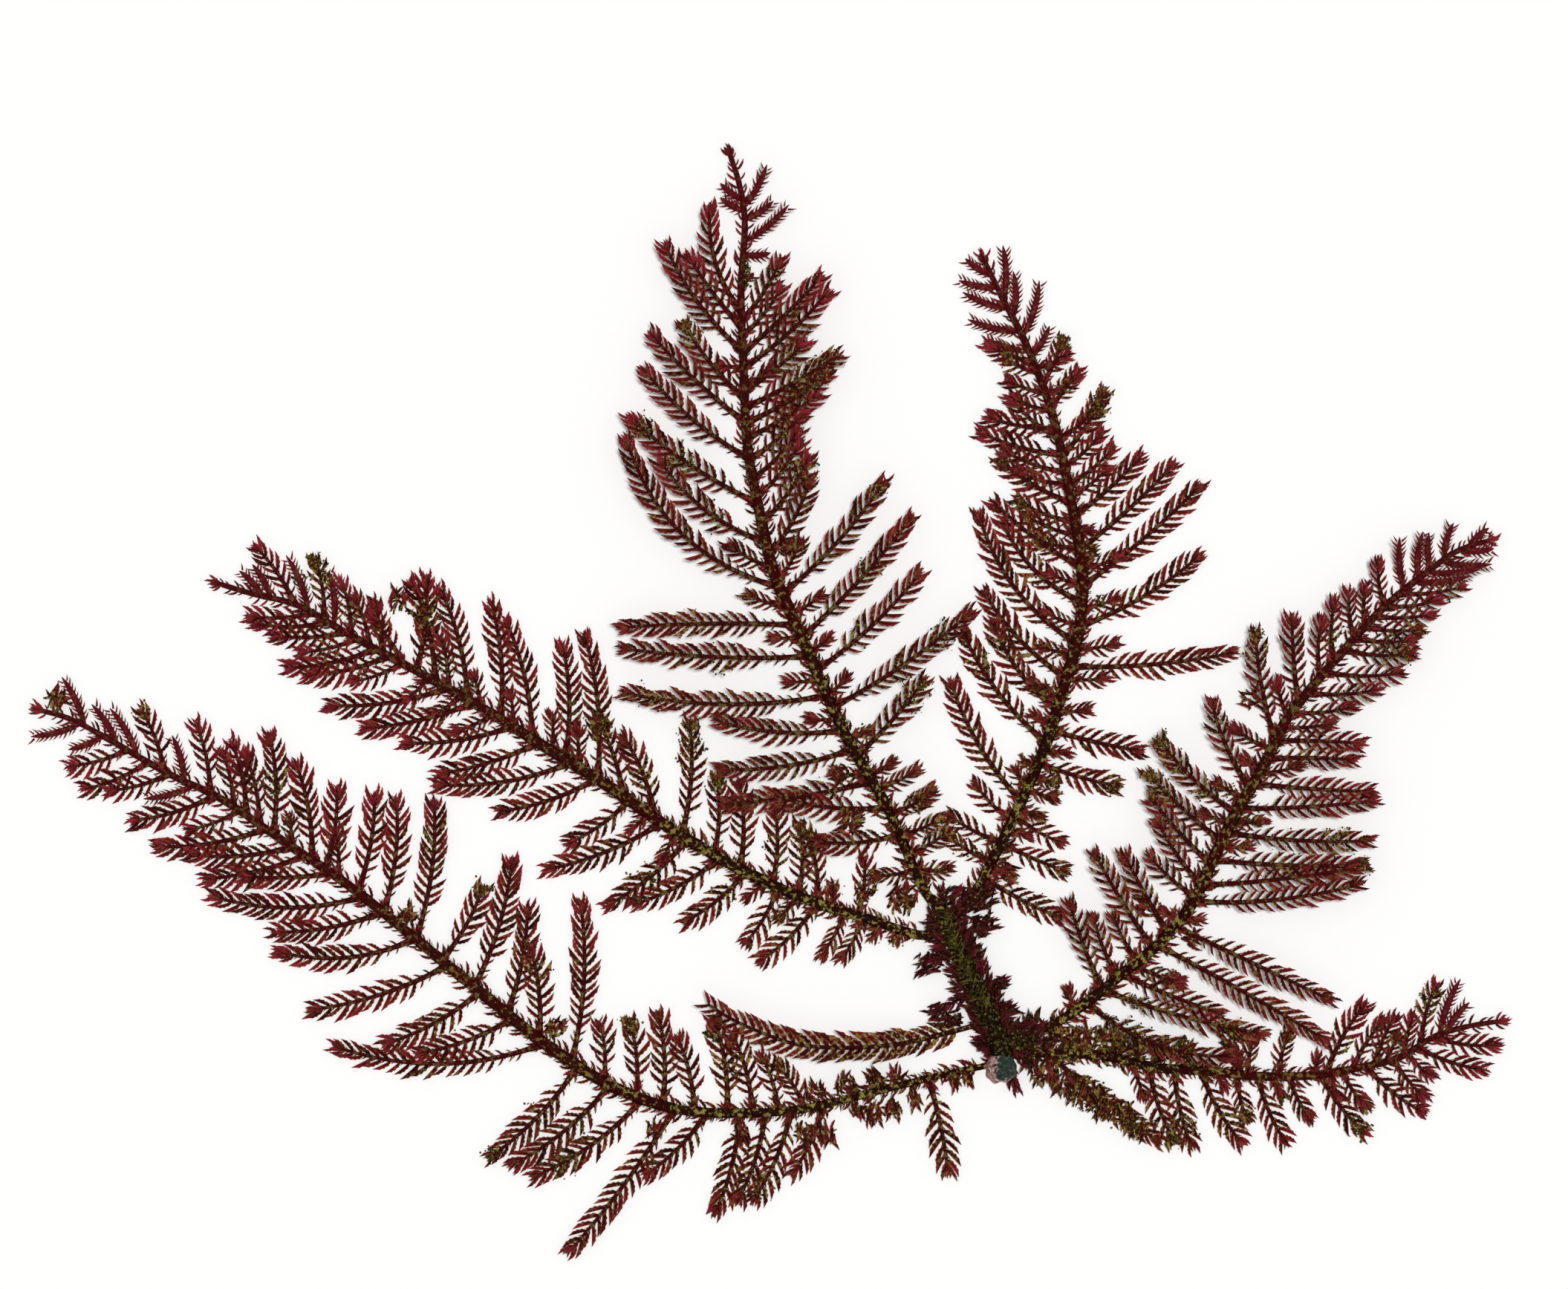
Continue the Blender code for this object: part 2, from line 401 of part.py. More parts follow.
def flat_area(points, triangle):
    """Return a flat triangle's area."""
    a, b, c = (points[i] for i in triangle)
    return abs((b[0] - a[0]) * (c[1] - a[1]) - (b[1] - a[1]) * (c[0] - a[0])) / 2


def rim_edges(triangles):
    """Return the edges that belong to one triangle only."""
    count = {}
    for triangle in triangles:
        for edge in edges_of(triangle):
            count[edge] = count.get(edge, 0) + 1
    return {edge for edge, faces in count.items() if faces == 1}


def gap_patches(kept, empty):
    """Return the groups of empty triangles that are wholly shut in by kept ones."""
    covered = {edge for triangle in kept for edge in edges_of(triangle)}
    by_edge = {}
    for i, triangle in enumerate(empty):
        for edge in edges_of(triangle):
            by_edge.setdefault(edge, []).append(i)
    seen = set()
    patches = []
    for first in range(len(empty)):
        if first in seen:
            continue
        seen.add(first)
        group = [first]
        shut_in = True
        for i in group:
            for edge in edges_of(empty[i]):
                others = [j for j in by_edge[edge] if j != i]
                if not others and edge not in covered:
                    shut_in = False
                for j in others:
                    if j not in seen:
                        seen.add(j)
                        group.append(j)
        if shut_in:
            patches.append([empty[i] for i in group])
    return patches


def fill_small_gaps(points, kept, empty):
    """Fill pinholes, and part or join the places that only touch at a corner."""
    for patch in gap_patches(kept, empty):
        if sum(flat_area(points, triangle) for triangle in patch) < SMALLEST_GAP:
            kept = kept + patch
            empty = [triangle for triangle in empty if triangle not in patch]
    for attempt in range(60):
        rim = {}
        for edge in rim_edges(kept):
            for corner in edge:
                rim[corner] = rim.get(corner, 0) + 1
        pinched = [corner for corner, edges in rim.items() if edges > 2]
        if not pinched:
            break
        for corner in pinched:
            around = [triangle for triangle in empty if corner in triangle]
            around.sort(key=lambda triangle: flat_area(points, triangle))
            small = around and flat_area(points, around[0]) < SMALLEST_GAP
            if small and attempt < LAST_JOINING:
                empty.remove(around[0])
                kept.append(around[0])
                continue
            held = [triangle for triangle in kept if corner in triangle]
            if held:
                smallest = min(held, key=lambda triangle: flat_area(points, triangle))
                kept.remove(smallest)
                empty.append(smallest)
    return largest_sheet(kept)


def largest_sheet(kept):
    """Return the largest group of triangles that hang together by whole edges."""
    by_edge = {}
    for i, triangle in enumerate(kept):
        for edge in edges_of(triangle):
            by_edge.setdefault(edge, []).append(i)
    best = []
    seen = set()
    for first in range(len(kept)):
        if first in seen:
            continue
        seen.add(first)
        group = [first]
        for i in group:
            for edge in edges_of(kept[i]):
                for j in by_edge[edge]:
                    if j not in seen:
                        seen.add(j)
                        group.append(j)
        if len(group) > len(best):
            best = group
    return [kept[i] for i in best]


def slab(name, corners, triangles, bottom, thickness, material):
    """Make a closed flat solid from triangles, with its bottom and thickness by formula."""
    turned = []
    for a, b, c in triangles:
        pa, pb, pc = corners[a], corners[b], corners[c]
        area = (pb[0] - pa[0]) * (pc[1] - pa[1]) - (pb[1] - pa[1]) * (pc[0] - pa[0])
        turned.append((a, b, c) if area > 0 else (a, c, b))
    used = sorted({i for t in turned for i in t})
    mesh = bmesh.new()
    top, low = {}, {}
    for i in used:
        x, y = corners[i]
        floor = bottom((x, y))
        low[i] = mesh.verts.new((x * MM, y * MM, floor * MM))
        top[i] = mesh.verts.new((x * MM, y * MM, (floor + thickness((x, y))) * MM))
    rim = set()
    for triangle in turned:
        for i in range(3):
            rim.add((triangle[i], triangle[(i + 1) % 3]))
    for a, b, c in turned:
        mesh.faces.new((top[a], top[b], top[c]))
        mesh.faces.new((low[c], low[b], low[a]))
    for a, b in rim:
        if (b, a) not in rim:
            mesh.faces.new((top[b], top[a], low[a], low[b]))
    bmesh.ops.triangulate(mesh, faces=[f for f in mesh.faces if len(f.verts) > 3])
    data = bpy.data.meshes.new(name)
    mesh.to_mesh(data)
    mesh.free()
    piece = bpy.data.objects.new(name, data)
    piece.data.materials.append(material)
    bpy.context.scene.collection.objects.link(piece)
    return piece


def make_frond(name, spine_points, branches, axis, lifted, material):
    """Make one frond: main stem, side branches and leaflets as one flat solid."""
    spine = smooth_route(spine_points)
    outlines, ridge = frond_outlines(spine, branches, axis)
    corners, triangles = union_of(outlines, ridge)
    points, lengths = spine

    def from_spine(point):
        away = np.hypot(points[:, 0] - point[0], points[:, 1] - point[1])
        nearest = int(np.argmin(away))
        return away[nearest], lengths[nearest] / lengths[-1]

    def bottom(point):
        return smooth_rise(from_spine(point)[0], LIFT_START, LIFT_RUN) if lifted else 0.0

    def thickness(point):
        away, share = from_spine(point)
        ridge_share = max(0.0, 1.0 - away / (2 * spine_half_width(share)))
        blade = BLADE_THICKNESS
        if lifted:
            blade = blade * slope_allowance(away, LIFT_START, LIFT_RUN)
        return blade + SPINE_RIDGE * ridge_share

    return slab(name, corners, triangles, bottom, thickness, material)


def make_side_branch(material):
    """Make the short side branch, whose leaflets stand on the main stem itself."""
    route = smooth_route(SIDE_BRANCH_ROUTE)
    root, _, left = at(route, 0.0)
    half = RIB_WIDTH_AT_ROOT / 2
    outline = branch_outline(route, (root - left * half, root + left * half), pitch=1.5,
                             first_share=0.15)
    corners, triangles = union_of([outline], [])

    def bottom(point):
        return smooth_rise(math.dist(point, root), 0.0, BRANCH_RISE_RUN)

    return slab("side_branch", corners, triangles, bottom, lambda p: BLADE_THICKNESS * 1.08,
                material)


def make_stem(material):
    """Make the old stem with its fork arms and the tufts along it."""
    route = smooth_route(STEM_ROUTE)
    length = route[1][-1]
    plain = list(np.arange(0.0, length, 1.6))
    outlines = [strip_outline(route, {1: plain, -1: plain},
                              lambda share: STEM_WIDTH / 2 * (1 - 0.1 * share))]
    for root, tip in STEM_ARMS:
        arm = bowed_route(np.array(root), np.array(tip), np.zeros(2))
        reach = arm[1][-1]
        ends = {1: [0.0, reach], -1: [0.0, reach]}
        outlines.append(strip_outline(arm, ends, lambda share: STEM_WIDTH / 2 * 0.7))
    for root, tip in STEM_TUFTS:
        tuft = bowed_route(np.array(root), np.array(tip), np.zeros(2))
        base, _, left = at(tuft, 0.0)
        half = RIB_WIDTH_AT_ROOT * 0.7
        outlines.append(branch_outline(tuft, (base - left * half, base + left * half)))
    corners, triangles = union_of(outlines, [at(route, s)[0] for s in plain[1:]])
    points = route[0]

    def thickness(point):
        off_stem = np.min(np.hypot(points[:, 0] - point[0], points[:, 1] - point[1]))
        rounding = max(0.0, 1.0 - off_stem / (STEM_WIDTH * 0.9))
        return TUFT_THICKNESS + (STEM_THICKNESS - TUFT_THICKNESS) * rounding

    return slab("stem", corners, triangles, lambda p: 0.0, thickness, material)


def make_holdfast(material):
    """Make the holdfast, a low round cushion with a flat foot."""
    centre = np.array(FOOT_CENTRE)
    rim = []
    inner = []
    for i in range(FOOT_SIDES):
        turn = 2 * math.pi * i / FOOT_SIDES
        ray = np.array([math.cos(turn), math.sin(turn)])
        wobble = 1 + 0.05 * math.sin(3 * turn) + 0.03 * math.cos(5 * turn)
        rim.append(centre + ray * FOOT_RADIUS * wobble)
        inner.append(centre + ray * FOOT_RADIUS * 0.65)
    corners, triangles = union_of([rim, inner], [])

    def thickness(point):
        share = min(1.0, math.dist(point, FOOT_CENTRE) / FOOT_RADIUS)
        return FOOT_THICKNESS * (1 - 0.5 * share ** 2)

    return slab("holdfast", corners, triangles, lambda p: 0.0, thickness, material)


def main():
    clear_scene()
    wine_red = dried_thallus("dried_frond", FROND_COLOUR, 0.62)
    olive_brown = dried_thallus("crusted_stem", STEM_COLOUR, 0.78)
    pale_crust = dried_thallus("holdfast_crust", CRUST_COLOUR, 0.85)
    make_holdfast(pale_crust)
    make_stem(olive_brown)
    make_side_branch(wine_red)
    for name, spine, branches, axis, lifted in FRONDS:
        make_frond(name, spine, branches, axis, lifted, wine_red)


main()
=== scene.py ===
"""A dried, pressed fan of the red seaweed Ptilota asplenioides on white paper.

The plant lies flat: six feathery fronds and a short side branch spread from one old stem and
its holdfast. Lengths in the tables are millimetres on the fan, from the holdfast's middle.
"""

import json
import logging
import math
import random
from dataclasses import dataclass, field
from enum import Enum
from typing import ClassVar

import bmesh
import bpy
import numpy as np
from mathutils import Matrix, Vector

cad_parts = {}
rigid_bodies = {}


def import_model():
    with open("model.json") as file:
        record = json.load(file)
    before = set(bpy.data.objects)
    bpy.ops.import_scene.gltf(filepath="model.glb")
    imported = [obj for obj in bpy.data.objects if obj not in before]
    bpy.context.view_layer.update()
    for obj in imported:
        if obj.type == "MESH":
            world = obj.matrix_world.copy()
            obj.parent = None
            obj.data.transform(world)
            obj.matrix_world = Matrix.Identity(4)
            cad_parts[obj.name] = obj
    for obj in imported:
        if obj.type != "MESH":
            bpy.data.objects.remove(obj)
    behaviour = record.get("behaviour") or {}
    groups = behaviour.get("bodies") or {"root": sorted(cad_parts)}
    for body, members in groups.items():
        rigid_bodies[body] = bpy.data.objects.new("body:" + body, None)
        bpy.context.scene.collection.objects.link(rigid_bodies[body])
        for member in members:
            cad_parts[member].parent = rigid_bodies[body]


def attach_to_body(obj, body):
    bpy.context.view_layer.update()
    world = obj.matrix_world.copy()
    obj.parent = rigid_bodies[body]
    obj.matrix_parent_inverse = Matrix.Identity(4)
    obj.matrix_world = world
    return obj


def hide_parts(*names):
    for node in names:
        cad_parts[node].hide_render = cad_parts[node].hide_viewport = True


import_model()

LOG = logging.getLogger("seaweed")
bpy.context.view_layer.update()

Pair = tuple[float, float]
Spot = tuple[float, float, float]
Socket = bpy.types.NodeSocket
Thing = bpy.types.Object
Finish = bpy.types.Material

MM = 0.001
SEED = 41

# The left and the right of a line, looking along it.
SIDES = (1, -1)

# The photograph's field: its width on the paper and its middle, in millimetres.
FIELD_WIDTH = 121.0
FIELD_CENTRE = (-16.59, 32.61)
CAMERA_LENS = 200.0
CAMERA_SENSOR = 36.0

# How far side branches rise to lie over a neighbouring frond, the same as the solids.
CROSSING_LIFT = 1.35
LIFT_START = 0.8
LIFT_RUN = 2.4
BRANCH_RISE_RUN = 6.0

# Read off the flat fan, in millimetres. A spine is the route of a frond's main stem. A branch
# is where it springs on the spine (by x or by y), its tip's x and y, and, where it isn't the
# usual one, its bend: the bow's handle over the chord, bowed away from the frond's tip.
FAR_LEFT_SPINE = [(-1.5, 0.0), (-5, -0.75), (-10, -2.0), (-15, -3.2), (-20, -3.55), (-25, -3.2),
    (-30, -1.4), (-35, 1.8), (-40, 5.8), (-45, 9.9), (-50, 13.9), (-55, 17.3), (-60, 20.7), (-64, 22.6),
    (-68, 24.9), (-71.5, 26.8), (-74.2, 27.6)]
FAR_LEFT_BRANCHES = [
    (-15.2, -17.2, 0.3), (-17.0, -18.4, 1.0), (-18.9, -20.6, 2.6), (-21.0, -22.0, 3.8),
    (-23.3, -24.9, 2.5), (-25.8, -26.3, 4.1), (-28.0, -28.5, 3.6), (-30.5, -30.8, 3.6),
    (-33.0, -32.3, 12.8), (-35.6, -36.2, 9.4), (-38.0, -36.4, 12.5), (-40.3, -37.6, 16.0),
    (-42.8, -39.8, 14.0), (-45.0, -43.6, 20.6), (-47.5, -46.5, 20.7), (-49.7, -48.2, 21.2),
    (-50.9, -51.3, 18.5), (-52.0, -51.1, 21.6), (-53.2, -54.3, 23.6), (-54.6, -54.9, 19.4),
    (-56.0, -56.3, 25.7), (-57.0, -58.2, 24.3), (-58.0, -59.3, 25.3), (-59.2, -60.0, 24.5),
    (-61.0, -62.0, 26.6), (-63.0, -63.8, 25.6), (-64.3, -66.2, 27.6), (-66.6, -68.6, 27.7),
    (-68.0, -70.0, 28.0), (-70.6, -72.3, 30.1), (-5.6, -3.9, -8.2, 0.05), (-13.4, -16.0, -8.3),
    (-16.2, -18.9, -10.2), (-18.0, -20.2, -10.4), (-20.0, -21.9, -11.3), (-22.3, -27.2, -8.3),
    (-24.8, -33.2, -14.3, 0.05), (-27.5, -36.0, -8.5, 0.12), (-30.2, -37.5, -7.6), (-32.4, -39.3, -7.0),
    (-34.8, -51.3, 1.6, 0.18), (-37.3, -45.0, 1.0), (-40.0, -47.5, 1.7), (-42.4, -53.2, 4.4),
    (-45.0, -55.7, 8.9, 0.18), (-47.3, -56.0, 10.4), (-49.1, -60.8, 13.2, 0.15),
    (-51.6, -58.5, 14.8, 0.08), (-53.3, -61.3, 14.5, 0.08), (-54.7, -62.5, 16.4), (-56.5, -65.0, 17.0),
    (-58.6, -62.6, 18.3), (-60.3, -67.0, 19.0), (-62.2, -66.0, 20.7), (-64.0, -68.9, 21.3),
    (-65.8, -70.7, 21.4), (-67.2, -71.9, 23.2), (-69.0, -71.8, 24.5), (-70.7, -74.7, 25.5)]
LEFT_SPINE = [(-6.2, 10.2), (-10, 11.4), (-15, 13.0), (-20, 15.3), (-25, 18.2), (-30, 21.6), (-35, 24.7),
    (-40, 27.8), (-45, 30.6), (-50, 33.3), (-54, 35.6), (-57.5, 36.5), (-60.5, 37.4)]
LEFT_BRANCHES = [
    (-10.9, -10.4, 16.2), (-12.9, -12.9, 14.2), (-14.1, -14.8, 18.2), (-15.6, -15.4, 18.9),
    (-17.5, -17.3, 20.0), (-19.8, -20.1, 22.2), (-22.0, -21.8, 22.5), (-24.3, -23.9, 26.8),
    (-26.3, -29.0, 25.6), (-28.8, -31.0, 26.8), (-31.1, -32.0, 33.4), (-32.4, -32.7, 26.4),
    (-33.6, -33.7, 32.7), (-34.6, -34.6, 27.5), (-36.2, -38.1, 34.6), (-37.5, -37.8, 29.0),
    (-38.6, -39.2, 35.9), (-39.9, -40.7, 30.5), (-41.0, -43.1, 36.9), (-42.3, -43.1, 33.3),
    (-43.6, -45.3, 37.5), (-44.8, -44.2, 37.9), (-46.2, -48.8, 35.0), (-47.5, -48.3, 36.0),
    (-48.8, -49.8, 36.4), (-50.0, -50.8, 37.7), (-51.2, -51.7, 38.3), (-52.2, -52.8, 39.4),
    (-53.2, -55.0, 39.5), (-54.2, -57.4, 40.2), (-56.0, -57.6, 38.8), (-57.0, -58.6, 38.3),
    (-7.8, -8.0, 9.6), (-9.3, -9.9, 9.8), (-10.6, -12.3, 8.2), (-12.0, -13.8, 8.5), (-13.8, -18.5, 8.1),
    (-15.4, -17.2, 11.4), (-17.2, -19.7, 9.4), (-18.0, -19.7, 13.0), (-19.3, -24.4, 11.1),
    (-21.5, -28.3, 12.5), (-24.0, -30.3, 12.4), (-25.0, -26.2, 15.8), (-26.0, -35.1, 15.2),
    (-27.0, -28.7, 18.2), (-28.5, -33.3, 17.2), (-31.0, -38.6, 19.7), (-33.0, -43.5, 21.8, 0.12),
    (-35.4, -43.3, 22.6, 0.08), (-37.7, -46.0, 25.0), (-39.0, -42.2, 25.9), (-40.3, -49.1, 26.1, 0.08),
    (-41.3, -43.9, 27.1), (-42.7, -51.8, 27.9), (-44.2, -46.0, 28.2), (-45.8, -50.0, 29.7),
    (-46.9, -53.6, 30.2), (-48.0, -55.1, 30.8), (-49.4, -54.0, 32.0), (-50.6, -56.2, 33.3),
    (-51.8, -57.4, 34.2), (-53.0, -58.0, 34.8)]
CENTRAL_SPINE = [(-5.6, 13.4), (-6.5, 15.2), (-8.6, 20), (-11.5, 25), (-13.6, 29.5), (-15.2, 33.2),
    (-17.3, 38), (-18.5, 43), (-19.4, 48), (-19.7, 54), (-19.9, 60), (-19.6, 65), (-20.0, 68),
    (-20.8, 70.6)]
CENTRAL_BRANCHES = [
    (15.2, -9.8, 14.8), (18.1, -14.1, 17.4), (19.8, -17.5, 21.0), (21.8, -21.4, 20.3, 0.05),
    (22.4, -12.9, 22.8), (24.4, -21.7, 23.0), (25.8, -21.8, 26.7), (26.9, -14.8, 26.9),
    (28.6, -29.0, 28.9), (29.9, -16.5, 29.8), (31.6, -29.1, 32.3, 0.05), (33.0, -17.7, 33.2),
    (34.2, -29.2, 33.9, -0.03), (35.6, -19.7, 36.6), (37.2, -28.8, 48.6, 0.28), (38.7, -20.9, 40.4),
    (40.6, -26.3, 47.0, 0.18), (43.5, -28.6, 50.2, 0.08), (46.8, -27.5, 53.9), (49.5, -26.9, 56.6, 0.06),
    (51.5, -24.3, 57.4), (53.8, -21.9, 54.3), (55.0, -25.8, 63.5, 0.12), (57.0, -24.0, 62.6, 0.06),
    (58.3, -22.3, 66.4, 0.2), (65.9, -21.5, 67.1), (66.8, -21.5, 68.2), (15.3, -3.8, 15.4),
    (16.4, -3.7, 18.5), (17.8, -4.4, 19.3), (19.5, -5.0, 21.5), (21.5, -6.2, 23.1), (22.6, -8.1, 23.6),
    (24.0, -5.7, 30.0, 0.05), (25.5, -9.9, 25.9), (27.8, -2.1, 35.2, 0.06), (28.8, -11.7, 30.3),
    (30.6, -6.0, 38.3, 0.08), (32.2, -13.0, 33.3), (33.4, -6.8, 42.4, 0.05), (35.2, -13.6, 36.5),
    (36.6, -8.8, 45.3, 0.08), (37.6, -15.3, 40.7), (39.5, -14.5, 45.5), (42.2, -14.6, 47.2),
    (43.8, -15.3, 48.2), (45.4, -15.4, 49.2), (46.8, -15.0, 50.6), (48.3, -13.8, 52.0, 0.06),
    (49.7, -12.9, 53.6, 0.06), (51.0, -12.3, 55.0, 0.05), (52.2, -14.8, 56.0, 0.05), (53.0, -17.4, 53.9),
    (54.0, -13.1, 59.9, 0.08), (55.4, -13.7, 61.0, 0.05), (56.5, -16.7, 60.3), (57.7, -16.8, 62.4),
    (60.5, -18.9, 61.3), (62.7, -17.6, 62.8), (63.8, -16.2, 66.5), (65.2, -17.4, 66.8),
    (66.4, -17.9, 69.6)]
RIGHT_CENTRE_SPINE = [(-2.3, 12.6), (-1.0, 15.0), (1.5, 20), (3.65, 25), (5.2, 30), (6.3, 34.5),
    (6.35, 39), (5.5, 44), (4.6, 48.5), (3.6, 52), (2.0, 56), (0.2, 59.5), (-1.3, 62.6)]
RIGHT_CENTRE_BRANCHES = [
    (15.9, -4.0, 17.9), (17.2, -3.9, 19.5), (18.9, -2.0, 22.1), (20.4, -3.8, 30.0, 0.12),
    (21.6, 1.1, 23.2), (23.7, 1.6, 23.6), (25.2, -2.9, 33.8, 0.12), (26.6, 2.4, 27.4),
    (27.7, -0.5, 34.4, 0.15), (28.6, 2.2, 29.8), (30.1, -1.2, 36.7, 0.12), (31.7, 3.0, 32.6),
    (32.8, -1.6, 42.8, 0.2), (34.2, 3.4, 35.2), (35.7, 0.2, 42.2, 0.2), (37.2, 3.6, 38.3),
    (38.4, -0.5, 43.7, 0.08), (39.8, 2.8, 40.8), (41.0, 2.0, 42.6), (42.2, 1.3, 43.8), (43.5, 0.0, 46.9),
    (44.9, 1.2, 46.0), (46.0, 0.3, 47.6), (47.1, -1.5, 49.0), (48.3, 0.8, 51.7), (49.4, -1.0, 50.2),
    (50.6, 0.7, 51.8), (52.0, 0.4, 53.1), (53.4, 0.2, 54.8), (54.3, -1.1, 55.8), (55.4, -1.1, 56.2),
    (56.8, -2.4, 57.7), (58.6, -2.8, 59.8), (60.0, -3.1, 60.7), (61.0, -2.6, 62.4),
    (14.8, 4.8, 11.5, 0.05), (15.6, 0.8, 15.0), (17.4, 5.3, 15.1, 0.05), (18.3, 2.6, 17.8),
    (19.3, 4.9, 17.3), (20.0, 3.4, 19.3), (21.5, 4.4, 20.8), (22.4, 4.5, 22.0), (23.5, 9.2, 21.7, 0.05),
    (24.7, 5.5, 24.3), (26.0, 11.0, 24.4, 0.03), (27.3, 7.1, 27.6), (30.0, 8.5, 30.1),
    (31.1, 18.1, 32.0, 0.06), (32.5, 9.2, 32.8), (34.0, 15.6, 39.6), (35.6, 9.2, 36.3),
    (37.2, 15.6, 45.0, 0.05), (38.5, 9.6, 39.5), (39.9, 13.5, 46.6, 0.05), (41.3, 7.3, 41.4),
    (42.4, 11.0, 47.2, 0.06), (43.8, 8.5, 46.4), (45.0, 8.9, 47.9), (46.2, 8.0, 49.1), (47.3, 8.1, 52.1),
    (48.5, 7.7, 51.0), (50.8, 6.2, 53.9, 0.05), (52.0, 5.9, 53.2), (52.9, 4.9, 56.2), (54.0, 5.4, 55.0),
    (55.0, 3.9, 57.2), (56.4, 3.1, 60.7, 0.12), (57.9, 1.1, 61.4, 0.12), (59.2, 0.3, 63.4)]
RIGHT_SPINE = [(3.4, 2.8), (6.5, 4.8), (9.5, 7.2), (12.5, 9.7), (15.0, 12.8), (16.5, 16.0), (18.3, 19.6),
    (20.5, 23.4), (22.3, 27.0), (25.5, 30.9), (29.4, 35.2), (33.0, 38.2), (35.5, 39.9), (38.0, 40.7)]
RIGHT_BRANCHES = [
    (4.4, 5.3, 6.3), (6.0, 5.4, 12.8, 0.06), (7.0, 7.2, 11.8), (8.2, 8.7, 11.9), (9.2, 7.2, 16.8, 0.05),
    (10.2, 9.5, 16.6, 0.03), (11.4, 12.3, 12.2), (13.0, 11.4, 16.5), (14.0, 12.1, 19.2),
    (15.8, 11.6, 20.9, 0.06), (17.4, 11.3, 22.8, 0.05), (18.8, 15.4, 19.8), (19.7, 12.2, 25.4),
    (20.8, 16.6, 22.1), (21.6, 16.3, 28.4, 0.12), (23.2, 18.7, 24.0), (24.5, 18.0, 26.3),
    (25.3, 19.7, 33.6, 0.08), (27.0, 21.4, 29.9), (28.3, 22.5, 34.8, 0.05), (30.0, 24.8, 34.6),
    (31.4, 25.8, 36.2), (33.0, 26.9, 37.0), (34.2, 28.3, 37.4), (35.4, 29.1, 39.1), (36.9, 30.8, 40.9),
    (37.8, 32.6, 41.3), (38.4, 33.1, 41.2), (39.2, 35.0, 42.0), (40.2, 37.8, 41.6),
    (5.0, 17.9, 0.9, 0.2), (6.0, 20.5, 2.6, 0.05), (7.2, 17.0, 4.2, 0.03), (7.9, 14.3, 6.6),
    (9.3, 25.2, 2.1, -0.02), (10.9, 25.6, 5.2, 0.0), (11.6, 15.8, 11.4), (12.7, 27.9, 14.2, 0.08),
    (14.2, 27.4, 15.4, 0.03), (16.1, 28.4, 15.6, 0.03), (17.0, 19.5, 17.1), (18.0, 28.6, 17.5, 0.05),
    (18.9, 20.5, 19.1), (19.8, 29.0, 20.6, 0.03), (21.7, 28.8, 21.3, 0.02), (22.8, 23.3, 23.4),
    (23.8, 27.5, 23.7, -0.05), (25.3, 28.0, 25.0, -0.03), (26.4, 25.7, 26.6), (27.5, 27.4, 27.9),
    (28.9, 29.3, 29.2), (30.3, 31.1, 30.5), (32.0, 32.0, 31.9), (33.0, 32.3, 33.0), (34.0, 32.5, 33.8),
    (34.9, 33.5, 35.0), (35.7, 34.0, 36.1), (36.7, 35.7, 37.1), (37.5, 36.3, 37.9), (38.2, 37.2, 38.5),
    (39.0, 38.0, 38.8), (39.9, 38.2, 40.0)]
LOWER_RIGHT_SPINE = [(3.4, 1.1), (8, 0.9), (12, 0.0), (16, -0.3), (20, -0.7), (24, -0.65), (28, 0.0),
    (31, 0.8), (33.5, 2.3), (36, 3.1), (39.0, 3.6)]
LOWER_RIGHT_BRANCHES = [(18.5, 18.6, 1.1), (19.4, 19.7, 2.4), (21.6, 22.4, 2.8), (24.6, 24.7, 1.0),
    (25.4, 28.3, 4.9), (27.4, 29.7, 3.6), (29.0, 30.6, 3.9), (29.9, 30.9, 2.4), (31.2, 32.0, 4.0),
    (32.6, 33.8, 6.5), (33.9, 35.6, 6.8), (34.5, 36.3, 5.0), (4.0, 12.5, -5.8, 0.05), (10.3, 11.3, -2.3),
    (11.7, 13.6, -5.8), (13.7, 14.9, -6.1), (15.7, 18.8, -5.9), (17.0, 17.6, -1.8), (18.3, 19.2, -4.2),
    (20.2, 22.2, -5.9), (21.3, 21.9, -2.3), (22.3, 24.1, -4.1), (24.7, 28.4, -5.2), (25.6, 26.3, -2.4),
    (26.6, 28.4, -3.1), (28.5, 32.8, -3.5), (30.5, 33.1, -2.5), (31.6, 33.5, -0.8), (32.4, 37.5, -0.2),
    (33.6, 38.5, 1.7)]

# The short side branch bears its leaflets straight on its main stem, from its joint outwards.
SIDE_BRANCH_JOINT = (-0.9, 3.5)
SIDE_BRANCH_ROUTE = [(-3.0, 2.9), (-5, 2.4), (-8, 1.8), (-12, 1.55), (-15.5, 1.8), (-18, 2.6),
    (-20.5, 3.7), (-22.6, 5.0)]

STEM_ROUTE = [(0.3, 0.6), (0.0, 1.9), (-1.0, 4.5), (-2.3, 7.3), (-3.6, 10.0), (-4.2, 12.0)]
CROWN_ROUTE = [(-0.2, 2.0), (1.2, 2.1), (2.9, 1.9)]
STEM_TUFTS = [(-5.2, 8.4), (-5.0, 4.3), (-1.9, 8.8), (0.2, 6.5), (0.8, 4.4), (2.6, 3.3), (-1.7, 2.0),
    (-0.9, 11.0), (-1.8, 13.0), (-4.5, 13.6), (1.3, -1.5)]

